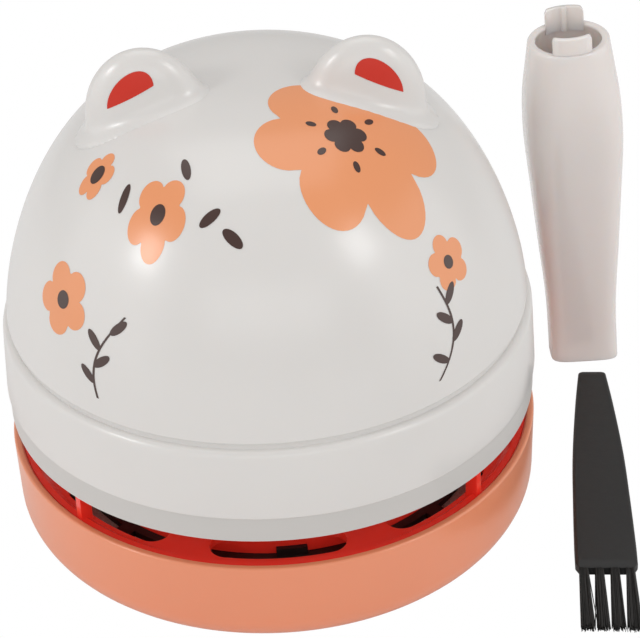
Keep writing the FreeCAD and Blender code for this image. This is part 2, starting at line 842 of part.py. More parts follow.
def motor_end_cap():
    """The plastic cap on the motor's back, with its two terminals."""
    cap = rod("end_cap_disc", size["end_cap_radius"], size["end_cap_length"], z=motor_top)
    terminals = []
    for side in (1, -1):
        terminals.append(centred_box(f"terminal_{'ab'[side > 0]}", 0.6, 2.4, 3.0,
                                     size["end_cap_radius"] * 0.6 * side, 0.0, motor_top + size["end_cap_length"]))
    return fuse("motor_end_cap", [cap] + terminals)


def motor_bracket():
    """The flanged sleeve that holds the motor to the cover."""
    bore = size["motor_radius"] + size["bracket_fit"]
    outside = bore + size["bracket_wall"]
    form = turned("bracket_form", [
        (bore, cover_top),
        (size["flange_radius"], cover_top),
        (size["flange_radius"], cover_top + size["flange_thick"]),
        (outside, cover_top + size["flange_thick"]),
        (outside, cover_top + size["bracket_height"]),
        (bore, cover_top + size["bracket_height"]),
    ])
    holes = []
    for side in BRACKET_SIDES:
        holes.append(rod(f"flange_hole_{'ab'[side > 0]}", screw_hole, size["flange_thick"] + 2,
                         size["bracket_screw_circle"] * side, 0.0, cover_top - 1))
    return cut("motor_bracket", form, holes)


def bracket_screws():
    """Two screws that hold the bracket's flange to the cover."""
    members = []
    for side in BRACKET_SIDES:
        members.append(screw(f"bracket_screw_{'ab'[side > 0]}", size["bracket_screw_circle"] * side, 0.0,
                             cover_top + size["flange_thick"], size["bracket_screw_length"], True))
    return group("bracket_screws", members)


def motor_shaft():
    """The steel shaft, from inside the motor down into the impeller's hub."""
    low = blade_low + size["hub_floor"]
    return rod("motor_shaft", size["shaft_radius"], cover_top + size["shaft_depth"] - 0.5 - low, z=low)


def impeller():
    """The centrifugal fan: hub, backplate and backward-curved blades."""
    low = blade_low + size["hub_floor"]
    form = turned("impeller_form", [
        (0.0, blade_low),
        (size["hub_radius"], blade_low),
        (size["hub_radius"], backplate_low),
        (size["impeller_radius"], backplate_low),
        (size["impeller_radius"], backplate_top),
        (size["shaft_radius"], backplate_top),
        (size["shaft_radius"], low),
        (0.0, low),
    ])
    blades = []
    sweep_radius = (size["impeller_radius"] - size["blade_eye"]) * 0.9
    for number in range(DRIVING_SIZES["blade_count"]):
        azimuth = 360.0 / size["blade_count"] * number
        blades.append(blade(f"blade_{number + 1}", sweep_radius, azimuth))
    return fuse("impeller", [form] + blades)


def blade(name, sweep_radius, azimuth):
    """One blade: a stretch of a thin upright tube whose axis lies beside the fan's radius."""
    centre_x, centre_y = ring_place((size["impeller_radius"] + size["blade_eye"]) / 2 * 0.94, azimuth)
    pieces = []
    for suffix, radius, extra in (("outer", sweep_radius, 0.0), ("inner", sweep_radius - size["blade_thick"], 1.0)):
        item = doc.addObject("Part::Cylinder", f"{name}_{suffix}")
        span = 58.0 + 2 * extra
        bind(item, Radius=radius, Height=size["blade_height"] + 0.4 + 2 * extra, Angle=span)
        side_x, side_y = ring_place(sweep_radius * 0.94, azimuth + 90)
        place(item, centre_x - side_x, centre_y - side_y, blade_low - extra,
              turn=azimuth - span / 2)
        pieces.append(item)
    return cut(name, pieces[0], [pieces[1]])


def battery_cell():
    """The rechargeable cell, lying across the front of the housing."""
    level = cover_top + size["cradle_floor"] + size["cell_fit"] + size["cell_radius"]
    item = doc.addObject("Part::Cylinder", "battery_cell")
    bind(item, Radius=size["cell_radius"], Height=size["cell_length"])
    item.Placement.Rotation = FreeCAD.Rotation(FreeCAD.Vector(0, 1, 0), 90)
    return place(item, -size["cell_length"] / 2, -size["cell_forward"], level)


def battery_cradle():
    """The tray that the cell lies in, open at the top, with a wall at each end."""
    bore = size["cell_radius"] + size["cell_fit"]
    length = size["cell_length"] + 2 * (size["cell_fit"] + size["cradle_wall"])
    block = centred_box("cradle_block", length, size["cell_radius"] * 2, size["cradle_height"],
                        as_size(0), -size["cell_forward"], cover_top)
    hollow = doc.addObject("Part::Cylinder", "cradle_hollow")
    bind(hollow, Radius=bore, Height=size["cell_length"] + 2 * size["cell_fit"])
    hollow.Placement.Rotation = FreeCAD.Rotation(FreeCAD.Vector(0, 1, 0), 90)
    place(hollow, -size["cell_length"] / 2 - size["cell_fit"], -size["cell_forward"],
          cover_top + size["cradle_floor"] + bore)
    return cut("battery_cradle", block, [hollow])


def circuit_board():
    """The charging and switching board on its four posts, with its two largest parts."""
    low = cover_top + size["post_height"]
    plate = box("board_plate", size["board_width"], size["board_length"], size["board_thick"],
                -size["board_width"] / 2, size["board_front"], low)
    top = low + size["board_thick"] - 0.1
    chip = centred_box("charge_chip", 5.0, 4.0, 1.5, as_size(-4), size["board_front"] + 5, top)
    coil = rod("board_coil", 2.2, 2.6, 5.0, size["board_front"] + 5, top)
    return fuse("circuit_board", [plate, chip, coil])


def charging_socket():
    """The charging socket on the board's rear edge: a metal sleeve with its tongue."""
    low = cover_top + size["post_height"] + size["board_thick"]
    front = size["socket_reach"] - size["socket_length"]
    sleeve = box("socket_sleeve", size["socket_width"], size["socket_length"], size["socket_height"],
                 -size["socket_width"] / 2, front, low)
    wall = size["socket_wall"]
    hollow = box("socket_hollow", size["socket_width"] - wall * 2, size["socket_length"],
                 size["socket_height"] - wall * 2, wall - size["socket_width"] / 2, front + 1, low + wall)
    tongue = centred_box("socket_tongue", size["socket_width"] * 0.7, size["socket_length"] - 1.5,
                         size["tongue_thick"], as_size(0), size["socket_reach"] - size["socket_length"] / 2 - 0.5,
                         low + size["socket_height"] / 2 - size["tongue_thick"] / 2)
    return fuse("charging_socket", [cut("socket_shell", sleeve, [hollow]), tongue])


def switch_body():
    """The slide switch's body on the cover's floor, with the slot that its lever runs in."""
    back = size["switch_face"] - size["switch_depth"]
    block = box("switch_block", size["switch_depth"], size["switch_width"], size["switch_height"],
                back, -size["switch_width"] / 2, cover_top)
    stem = size["stem_size"] + 2 * size["knob_fit"]
    level = lip_top + size["knob_level"] - stem / 2
    slot = box("switch_slot", size["stem_reach"] + size["knob_fit"] + 1, stem, stem + size["knob_travel"],
               size["switch_face"] - size["stem_reach"] - size["knob_fit"], -stem / 2, level)
    return turned_to_switch("switch_body", cut("switch_cased", block, [slot]))


def switch_knob():
    """The knob: the outside pad, the sliding plate behind the band and the lever."""
    level = lip_top + size["knob_level"]
    inside = size["switch_face"] + size["knob_fit"]
    outside = shell_bottom_radius + size["knob_proud"]
    pad = centred_box("knob_pad", outside - inside, size["knob_width"], size["knob_height"],
                      (outside + inside) / 2, 0.0, level - size["knob_height"] / 2)
    plate_height = size["knob_height"] + 2 * size["plate_overlap"]
    plate = centred_box("knob_plate", size["plate_thick"], size["knob_width"] + 2 * size["plate_overlap"],
                        plate_height, inside + size["plate_thick"] / 2, 0.0, level - plate_height / 2)
    stem = centred_box("knob_stem", size["stem_reach"] + size["knob_fit"] + 0.5, size["stem_size"], size["stem_size"],
                       inside - (size["stem_reach"] + size["knob_fit"]) / 2 + 0.25, 0.0,
                       level - size["stem_size"] / 2)
    ribs = []
    for number in range(3):
        ribs.append(centred_box(f"knob_rib_{number + 1}", 0.8, size["knob_width"] - 1.6, 0.5, outside, 0.0,
                                level + (number - 1) * 1.4 - 0.25))
    return turned_to_switch("switch_knob", fuse("knob_form", [pad, plate, stem] + ribs))


def rounded_section(half_width, half_depth, corner, level):
    """A rounded rectangle of four arcs and four short straights."""
    centres = [(half_width - corner, half_depth - corner), (corner - half_width, half_depth - corner),
               (corner - half_width, corner - half_depth), (half_width - corner, corner - half_depth)]
    arcs = []
    for quarter, (x, y) in enumerate(centres):
        angles = [math.radians(90 * quarter + step) for step in (0, 45, 90)]
        arcs.append([FreeCAD.Vector(x + corner * math.cos(angle), y + corner * math.sin(angle), level)
                     for angle in angles])
    edges = []
    for quarter in range(4):
        edges.append(Part.Arc(*arcs[quarter]).toShape())
        edges.append(Part.makeLine(arcs[quarter][2], arcs[(quarter + 1) % 4][0]))
    return Part.Wire(edges)


def nozzle_form(trim, below, above):
    """The nozzle's loft, from the flat tip to the round mouth, made smaller by a trim."""
    mouth = size["nozzle_mouth"].value - trim
    wide = size["nozzle_half_width"].value - trim
    deep = size["nozzle_half_depth"].value - trim
    tip_wide = size["tip_half_width"].value - trim
    tip_deep = size["tip_half_depth"].value - trim
    tip_round = size["tip_round"].value - trim * 0.6
    length = size["nozzle_length"].value
    flat = size["mouth_flat"].value

    def between(share, low, high):
        return low + (high - low) * share

    sections = []
    for height, share, belly in ((-below, 0.0, 0.0), (0.18 * length, 0.28, 0.22), (0.38 * length, 0.62, 0.56),
                                 (0.56 * length, 0.87, 0.86), (0.72 * length, 1.0, 0.99)):
        half_width = between(share, tip_wide, wide)
        half_depth = between(belly, tip_deep, deep)
        corner = between(belly, tip_round, half_depth * 0.62)
        sections.append((height, half_width, half_depth, corner))
    for height, share in ((0.84 * length, 0.82), (0.93 * length, 0.4), (length + above, 0.0)):
        half_width = between(share, mouth, wide)
        half_depth = between(share, mouth, deep)
        corner = min(half_width, half_depth) * between(share, 1.0, 0.66) - flat
        sections.append((height, half_width, half_depth, corner))
    wires = [rounded_section(half_width, half_depth, corner, height)
             for height, half_width, half_depth, corner in sections]
    return Part.makeLoft(wires, True, True)


def nozzle():
    """The crevice nozzle, stood on its slant tip, with the two keys that lock into the port."""
    wall = size["nozzle_wall"].value
    length = size["nozzle_length"].value
    body = nozzle_form(0.0, 1.2, 0.0).cut(nozzle_form(wall, 2.4, 1.0))
    key_radius = size["nozzle_mouth"].value - size["key_step"].value
    root = 2.0
    collar = Part.makeCylinder(key_radius, size["key_length"].value + root, FreeCAD.Vector(0, 0, length - root))
    bore = Part.makeCylinder(size["nozzle_mouth"].value - wall, size["key_length"].value + root + 2,
                             FreeCAD.Vector(0, 0, length - root - 1))
    strip = Part.makeBox(size["key_width"].value, key_radius * 2, size["key_length"].value + root,
                         FreeCAD.Vector(-size["key_width"].value / 2, -key_radius, length - root))
    keys = collar.cut(bore).common(strip)
    body = body.fuse(keys.Solids)
    body.rotate(FreeCAD.Vector(0, 0, 0), FreeCAD.Vector(0, 1, 0), -size["nozzle_lean"].value)
    body.translate(FreeCAD.Vector(size["nozzle_right"].value, size["nozzle_back"].value, ground.value))
    below = Part.makeBox(60, 60, 10, FreeCAD.Vector(size["nozzle_right"].value - 30,
                                                    size["nozzle_back"].value - 30, ground.value - 10))
    item = doc.addObject("Part::Feature", "nozzle")
    item.Shape = body.cut(below).Solids[0]
    return item


def brush_placed(item):
    """Lay a piece of the brush, built along -Y from its ferrule end, where the brush lies."""
    return place(item, size["brush_right"], -size["brush_front"], ground, turn=-size["brush_turn"])


def brush_handle():
    """The flat tapered handle with rounded edges."""
    body = doc.addObject("PartDesign::Body", "brush_handle")
    end = size["brush_end_width"] / 2
    top = size["brush_top_width"] / 2
    length = size["brush_handle_length"]
    sketch = profile_sketch(body, "handle_outline", "XY_Plane", [
        (end, 0.0), (end, length * 0.1), (end * 0.94, length * 0.35), (end * 0.86, length * 0.56),
        (end * 0.66, length * 0.82), (top, length), (-top, length), (-end * 0.66, length * 0.82),
        (-end * 0.86, length * 0.56), (-end * 0.94, length * 0.35), (-end, length * 0.1), (-end, 0.0),
    ])
    pad = body.newObject("PartDesign::Pad", "handle_pad")
    pad.Profile = sketch
    bind(pad, Length=size["brush_thick"])
    doc.recompute()
    thick = size["brush_thick"].value
    round_edges(body, "handle_round", size["brush_round"],
                lambda edge: abs(edge.CenterOfMass.z - thick) < 0.01)
    return brush_placed(body)


def brush_bristles():
    """Four flaring tufts set in the handle's end."""
    tufts = []
    pitch = size["brush_end_width"] / DRIVING_SIZES["tuft_count"]
    low = (size["brush_thick"] - size["tuft_thick"]) / 2
    for number in range(DRIVING_SIZES["tuft_count"]):
        offset = pitch * (number - (DRIVING_SIZES["tuft_count"] - 1) / 2)
        tuft = doc.addObject("Part::Wedge", f"tuft_{number + 1}")
        bind(tuft, Xmin=offset - size["tuft_tip_width"] / 2, Xmax=offset + size["tuft_tip_width"] / 2,
             Ymin=-size["tuft_length"], Ymax=0.0, Zmin=low, Zmax=low + size["tuft_thick"],
             X2min=offset - size["tuft_root_width"] / 2, X2max=offset + size["tuft_root_width"] / 2,
             Z2min=low, Z2max=low + size["tuft_thick"])
        tufts.append(tuft)
    return brush_placed(group("brush_bristles", tufts))


NODES = [base_ring, suction_collar, rubber_feet, inlet_bristles, tray_gasket, vent_deck, filter_media, filter_frame,
         bottom_cover, cover_screws, top_shell, motor_can, motor_end_cap, motor_bracket, bracket_screws,
         motor_shaft, impeller, battery_cell, battery_cradle, circuit_board, charging_socket,
         switch_body, switch_knob, nozzle, brush_handle, brush_bristles]


def build():
    """Make every piece, check it, and only then write the files."""
    pieces = {}
    for maker in NODES:
        item = maker()
        item.Label = maker.__name__
        pieces[maker.__name__] = item
    doc.recompute()
    for item in doc.Objects:
        if "Invalid" in item.State or "Error" in item.State:
            raise RuntimeError(f"{item.Name} failed: {item.State}")
    for name, item in pieces.items():
        if item.Shape.isNull() or not item.Shape.isValid():
            raise RuntimeError(f"{name} has no valid shape")
    for name, item in pieces.items():
        item.Shape.exportStep(f"parts/{name}.step")
        box_of = item.Shape.BoundBox
        print(f"{name}: solids {len(item.Shape.Solids)}, volume {item.Shape.Volume:.1f}, "
              f"z {box_of.ZMin:.2f} to {box_of.ZMax:.2f}")


build()
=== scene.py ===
import json
import math
import random

import bmesh
import bpy
from bpy.props import FloatProperty, FloatVectorProperty, IntProperty, PointerProperty
from mathutils import Matrix, Vector


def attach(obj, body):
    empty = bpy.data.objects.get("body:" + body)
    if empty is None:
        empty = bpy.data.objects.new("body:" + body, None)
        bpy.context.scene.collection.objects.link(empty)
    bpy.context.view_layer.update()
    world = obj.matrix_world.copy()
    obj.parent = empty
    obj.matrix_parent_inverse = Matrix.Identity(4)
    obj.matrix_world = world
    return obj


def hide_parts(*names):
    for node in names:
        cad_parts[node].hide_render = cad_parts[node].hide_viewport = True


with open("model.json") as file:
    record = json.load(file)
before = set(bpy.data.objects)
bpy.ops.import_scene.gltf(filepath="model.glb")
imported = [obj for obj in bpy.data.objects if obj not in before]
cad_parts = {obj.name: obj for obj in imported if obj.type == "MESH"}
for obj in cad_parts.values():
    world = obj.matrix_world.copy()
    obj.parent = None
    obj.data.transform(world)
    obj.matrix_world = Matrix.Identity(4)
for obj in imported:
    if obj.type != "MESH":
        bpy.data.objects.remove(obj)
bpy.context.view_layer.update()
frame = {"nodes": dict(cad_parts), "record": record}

bl_info = {
    "name": "Desk vacuum looks",
    "version": (1, 0, 0),
    "blender": (4, 5, 0),
    "location": "3D View > Sidebar > Desk vacuum",
    "description": "Builds the visible pieces of a dome-shaped desktop mini vacuum cleaner",
    "category": "Object",
}

MM = 0.001

# Body, in metres; the origin is the suction port's mouth, +Z up, -Y the front
TRAY_RADIUS = 48.3 * MM
TRAY_LOW_RADIUS = 48.07 * MM
TRAY_ROUND = 6.4 * MM
TRAY_WALL = 1.4 * MM
RIM_HEIGHT = 18.0 * MM
RIM_ROUND = 0.5 * MM
RIM_BEVEL = 0.3 * MM
SEAT_RADIUS = 43.9 * MM
SEAT_HEIGHT = 7.4 * MM
FLOOR_TOP = 2.0 * MM
FLOOR_ROUND = 0.6 * MM
COLLAR_RADIUS = 8.9 * MM
LIP_LOW = 24.0 * MM
LIP_TOP = 28.8 * MM
BAND_TOP = 42.0 * MM
BAND_TOP_RADIUS = 47.75 * MM
BAND_SHOULDER = 1.6 * MM
CREASE_RADIUS = 46.3 * MM
DOME_FOOT = 43.6 * MM
DOME_RADIUS = 46.75 * MM
DOME_HEIGHT = 43.3 * MM
DOME_SIDE_POWER = 3.076
DOME_TOP_POWER = 1.485
FLANK_LENGTH = 64.0 * MM
SHELL_WALL = 1.8 * MM

# Feet and inlet bristles
GROUND = -0.8 * MM
FOOT_CIRCLE = 39.0 * MM
FOOT_AZIMUTHS = (45, 135, 225, 315)
FOOT_RADIUS = 4.0 * MM
FOOT_TOP = 0.35 * MM
FOOT_ROUND = 0.4 * MM
FOOT_DENT = 0.12 * MM
INLET_HAIRS = 900
INLET_HAIR_LENGTH = 1.6 * MM
INLET_HAIR_LEVEL = 0.98 * MM

# Screws
COVER_SCREW_CIRCLE = 39.0 * MM
COVER_SCREW_AZIMUTHS = (65, 150, 210, 295)
BRACKET_SCREW_OFFSET = 17.5 * MM
BRACKET_SCREW_LEVEL = 27.6 * MM
SCREW_HEAD = 1.2 * MM
SCREW_HEAD_RADIUS = 2.0 * MM
SCREW_RADIUS = 1.0 * MM
SCREW_LENGTH = 4.8 * MM
CROSS_ARM = 1.1 * MM
CROSS_HALF_WIDTH = 0.24 * MM
CROSS_DEPTH = 0.55 * MM

# Ears
EAR_OFFSET = 18.7 * MM
EAR_FORWARD = 3.85 * MM
EAR_LEVEL = 82.6 * MM
EAR_HALF = (10.25 * MM, 4.5 * MM, 12.5 * MM)
EAR_LEAN = math.radians(1.6)
EAR_FILLET = 1.5 * MM
EAR_INSET_HALF = 4.1 * MM
EAR_INSET_HEIGHT = 4.0 * MM
EAR_INSET_SHIFT = 2.0 * MM
EAR_INSET_SLOPE = 0.46
EAR_INSET_LOW = 5.4 * MM
EAR_INSET_LIFT = 0.08 * MM

# Printed design: places on the crown are x and y, places on the flanks an azimuth and a share of the dome
BLOSSOM_PLACE = (14.5 * MM, -17.0 * MM)
BLOSSOM_PETALS = 6
BLOSSOM_TURN = 0.25
SEED_CIRCLE = 5.8 * MM
CROWN_BLOSSOMS = ((-17.0 * MM, -27.5 * MM, 5.2 * MM), (-27.0 * MM, -15.5 * MM, 3.4 * MM))
FLANK_BLOSSOMS = ((-53.0, 0.33, 6.2 * MM, 0.9, 1.5 * MM), (48.0, 0.395, 4.6 * MM, 0.4, 1.1 * MM))
LOOSE_LEAVES = ((-8.5 * MM, -30.5 * MM, 20), (-5.0 * MM, -33.5 * MM, -35),
                (-22.5 * MM, -22.5 * MM, 60), (-12.0 * MM, -22.5 * MM, 100))
SPRIGS = ((-39.0, -1), (37.0, 1))
SPRIG_SHARE = 0.10
SPRIG_LENGTH = 16.5 * MM
SPRIG_BEND = 3.0 * MM
COLOUR_LIFT = 0.035 * MM
STEM_LIFT = 0.045 * MM
LEAF_LIFT = 0.05 * MM
INK_LIFT = 0.07 * MM

# Rear switch and charging socket
SWITCH_AZIMUTH = 115.0
KNOB_LEVEL = LIP_TOP + 4.0 * MM
KNOB_SIZE = (7.0 * MM, 5.0 * MM)
KNOB_TRAVEL = 3.0 * MM
KNOB_FIT = 0.3 * MM
KNOB_BACK = 44.3 * MM
KNOB_FACE = 49.2 * MM
RIB_PITCH = 1.4 * MM
SOCKET_LOW = 31.2 * MM
SOCKET_SIZE = (9.0 * MM, 3.2 * MM)
WINDOW_BACK = 44.0 * MM
SOCKET_BACK = 43.9 * MM
WINDOW_REACH = 54.0 * MM

# Nozzle; the table's rows are the level, half width and half depth in millimetres, and the section's power.
# NOZZLE_FOOT, MOUTH_EDGE and BORE_DROP are in millimetres too
NOZZLE_LENGTH = 71.6 * MM
NOZZLE_MOUTH = 7.7 * MM
NOZZLE_WALL = 1.5 * MM
NOZZLE_PLACE = (63.7 * MM, 37.5 * MM)
NOZZLE_LEAN = math.radians(3.6)
NOZZLE_FOOT = -1.2
NOZZLE_TABLE = [
    (NOZZLE_FOOT, 6.75, 4.2, 4.6),
    (12.8, 6.85, 4.7, 4.6),
    (27.0, 7.8, 5.9, 4.4),
    (39.6, 8.62, 7.1, 4.2),
    (51.0, 9.3, 8.1, 3.9),
    (59.5, 9.15, 8.3, 3.3),
    (65.8, 8.45, 8.05, 2.5),
    (71.6, 7.7, 7.7, 2.0),
]
NOZZLE_LEVELS = 60
NOZZLE_STEPS = 96
MOUTH_EDGE = 0.35
BORE_DROP = 0.4
KEY_LENGTH = 3.4 * MM
KEY_WIDTH = 7.3 * MM
KEY_RADIUS = 7.2 * MM
KEY_ROOT = 1.6 * MM
KEY_CORNER = 0.7 * MM
KEY_BEVEL = 0.2 * MM
KEY_RIB = 0.45 * MM

# Brush; HANDLE_LENGTH, HANDLE_EDGE and the table's rows (place on the handle, half width) in millimetres
BRUSH_PLACE = (57.9 * MM, -33.2 * MM)
BRUSH_TURN = math.radians(5.7)
BRUSH_THICK = 2.4 * MM
BRUSH_END = 5.6 * MM
HANDLE_LENGTH = 60.5
HANDLE_TABLE = [(0.0, 5.6), (6.05, 5.6), (21.2, 5.26), (33.9, 4.82), (49.6, 3.7), (HANDLE_LENGTH, 2.65)]
HANDLE_LEVELS = 60
HANDLE_STEPS = 32
HANDLE_EDGE = 0.7
TUFTS = 4
HAIRS_IN_TUFT = 230
TUFT_REACH = 16.0 * MM
TUFT_RAGGED = 1.3 * MM

# Finishes that follow one noise: its scale, detail and roughness, the shades of the colour, and the relief
FELT = {"rough": 0.95, "scale": 2600.0, "detail": 6.0, "coarse": 0.75, "shades": (0.62, 1.06),
        "depth": 0.00025}
RUBBER = {"rough": 0.78, "scale": 1800.0, "detail": 3.0, "coarse": 0.5, "shades": (0.8, 1.25),
          "depth": 0.00004}
NYLON = {"rough": 0.42, "scale": 5200.0, "detail": 3.0, "coarse": 0.5, "shades": (0.6, 1.5),
         "depth": 0.00003, "stretch": (1.0, 0.06, 1.0)}
BRUSHED = {"scale": 260.0, "detail": 5.0, "coarse": 0.6, "shades": (0.86, 1.08),
           "depth": 0.00001, "metal": True}
ALONG_Y = (1.0, 30.0, 1.0)
ALONG_Z = (1.0, 1.0, 30.0)

# Studio: each soft box has a place, a width, a height and a power
WHITE = (1.0, 1.0, 1.0, 1.0)
FLOOR_HALF = 2.5
LIGHT_TARGET = (0.01, 0.0, 0.045)
SOFT_BOXES = {
    "left_box": ((-0.916, -0.451, 0.629), 0.24, 0.28, 1.9),
    "right_box": ((0.577, -0.453, 0.542), 0.20, 0.24, 0.75),
    "left_low_box": ((-0.85, -0.20, 0.24), 0.90, 0.60, 1.0),
    "right_low_box": ((0.85, -0.20, 0.24), 0.90, 0.60, 1.2),
    "top_box": ((0.0, 0.10, 0.85), 0.8, 0.6, 1.4),
    "front_box": ((0.0, -0.95, 0.42), 1.0, 0.30, 0.8),
}
SKY_COLOUR = (1.0, 0.985, 0.97, 1.0)
SKY_STRENGTH = 0.52

# Camera, from the photograph's fitted ellipses
CAMERA_PLACE = (0.0, -361.69 * MM, 281.32 * MM)
CAMERA_RIGHT = (0.99798791, -0.05119147, -0.0374108)
CAMERA_UP = (0.05968374, 0.55931917, 0.82680102)
CAMERA_AHEAD = (0.02140058, 0.82737023, -0.56124906)
CAMERA_LENS = 135.0
CAMERA_SENSOR = 36.0


def colour_setting(name, description, default):
    """A colour that a user can change."""
    return FloatVectorProperty(name=name, description=description, subtype="COLOR", size=3, min=0, max=1,
                               default=default)


class VacuumLook(bpy.types.PropertyGroup):
    """Colours and sizes that a user would change."""

    shell_colour: colour_setting("Shell", "Colour of the dome and band", (0.75, 0.73, 0.71))
    lip_colour: colour_setting("Lip", "Colour of the lower cover", (0.60, 0.585, 0.565))
    tray_colour: colour_setting("Tray", "Colour of the dust tray", (0.86, 0.29, 0.145))
    deck_colour: colour_setting("Deck", "Colour of the vent deck", (0.86, 0.035, 0.020))
    print_colour: colour_setting("Print", "Main colour of the printed blossom", (0.86, 0.33, 0.14))
    ink_colour: colour_setting("Ink", "Colour of the printed seeds and stems", (0.05, 0.018, 0.012))
    blossom_size: FloatProperty(name="Blossom", description="Radius of the large blossom", unit="LENGTH",
                                default=15.5 * MM, min=5 * MM, max=20 * MM)
    round_steps: IntProperty(name="Round steps", description="Segments round the body", default=192,
                             min=48, max=384)


def look():
    """The scene's look settings."""
    return bpy.context.scene.vacuum_look


def node_material(name):
    """A new material with its principled shader, node tree and object coordinates."""
    material = bpy.data.materials.new(name)
    material.use_nodes = True
    tree = material.node_tree
    shader = tree.nodes["Principled BSDF"]
    coords = tree.nodes.new("ShaderNodeTexCoord")
    return material, tree, shader, coords.outputs["Object"]


def feed(tree, node, inputs):
    """Set a node's inputs by name or number: an output is linked, anything else is the value."""
    for name, value in inputs.items():
        if isinstance(value, bpy.types.NodeSocket):
            tree.links.new(value, node.inputs[name])
        else:
            node.inputs[name].default_value = value


def new_node(tree, kind, inputs):
    """A new node of a kind with its inputs set."""
    node = tree.nodes.new(kind)
    feed(tree, node, inputs)
    return node


def noise(tree, coords, scale, detail=3.0, rough=0.5):
    """A noise texture on object coordinates; scale is in cycles per metre."""
    inputs = {"Vector": coords, "Scale": scale, "Detail": detail, "Roughness": rough}
    return new_node(tree, "ShaderNodeTexNoise", inputs).outputs["Fac"]


def ramp(tree, value, low, high, dark, light):
    """Maps a value between two positions to two colours or grey levels."""
    node = tree.nodes.new("ShaderNodeValToRGB")
    node.color_ramp.elements[0].position = low
    node.color_ramp.elements[1].position = high
    for element, level in zip(node.color_ramp.elements, (dark, light)):
        element.color = (*level, 1.0) if isinstance(level, tuple) else (level, level, level, 1.0)
    feed(tree, node, {"Fac": value})
    return node.outputs["Color"]


def bump(tree, shader, height, distance):
    """A bump of real height in metres on the shader's normal."""
    node = new_node(tree, "ShaderNodeBump", {"Distance": distance, "Strength": 1.0, "Height": height})
    feed(tree, shader, {"Normal": node.outputs["Normal"]})


def shade(colour, factor):
    """A colour made darker or lighter."""
    return tuple(min(1.0, channel * factor) for channel in colour)


def tint(tree, shader, value, colour, dark, light):
    """Drive the base colour between a darker and a lighter shade of a colour."""
    feed(tree, shader, {"Base Color": ramp(tree, value, 0.3, 0.7, shade(colour, dark), shade(colour, light))})


def moulded(name, colour, rough, coat=0.0, grain=0.0000015, scatter=0.0, texture=2400.0, coat_rough=0.10,
            painted_glow=0.0):
    """Moulded plastic: fine grain, slow mottling of tone and of gloss, light passing through it, and a
    painted glow: emission in its own colour that stands in for light.
    """
    material, tree, shader, coords = node_material(name)
    tint(tree, shader, noise(tree, coords, 38.0, 4.0), colour, 0.985, 1.012)
    gloss = noise(tree, coords, texture * 0.35, 5.0)
    # The emission in the plastic's own colour is painted light, a glow that the plastic doesn't give off.
    feed(tree, shader, {"Roughness": ramp(tree, gloss, 0.25, 0.75, rough * 0.96, rough * 1.04),
                        "Coat Weight": coat, "Coat Roughness": coat_rough,
                        "Emission Color": (*colour, 1.0), "Emission Strength": painted_glow})
    bump(tree, shader, noise(tree, coords, texture, 2.0), grain)
    if scatter > 0:
        feed(tree, shader, {"Subsurface Weight": scatter, "Subsurface Radius": (0.0025, 0.0018, 0.0014),
                            "Subsurface Scale": 1.0})
    return material


def grained(name, colour, rough, scale, detail, coarse, shades, depth, stretch=None, metal=False):
    """A material whose tone and relief follow one noise, stretched where its lines run along one way."""
    material, tree, shader, coords = node_material(name)
    if stretch:
        coords = new_node(tree, "ShaderNodeMapping", {"Vector": coords, "Scale": stretch}).outputs["Vector"]
    field = noise(tree, coords, scale, detail, coarse)
    tint(tree, shader, field, colour, *shades)
    if metal:
        rough = ramp(tree, field, 0.3, 0.7, rough * 0.8, rough * 1.25)
    feed(tree, shader, {"Roughness": rough, "Metallic": float(metal)})
    bump(tree, shader, field, depth)
    return material


def board_mask(name, colour):
    """Solder mask with faint copper tracks under it."""
    material, tree, shader, coords = node_material(name)
    tracks = new_node(tree, "ShaderNodeTexBrick", {
        "Vector": coords, "Scale": 420.0, "Mortar Size": 0.06, "Color1": (*shade(colour, 0.9), 1),
        "Color2": (*colour, 1), "Mortar": (*shade(colour, 1.9), 1)})
    feed(tree, shader, {"Base Color": tracks.outputs["Color"], "Roughness": 0.35})
    bump(tree, shader, noise(tree, coords, 900.0), 0.00001)
    return material


def cell_wrap(name, colour):
    """Shrink wrap with a pale band near one end."""
    material, tree, shader, coords = node_material(name)
    split = new_node(tree, "ShaderNodeSeparateXYZ", {"Vector": coords})
    band = ramp(tree, split.outputs["X"], 0.014, 0.0145, colour, (0.75, 0.75, 0.73))
    feed(tree, shader, {"Base Color": band, "Roughness": 0.28})
    bump(tree, shader, noise(tree, coords, 300.0), 0.00004)
    return material


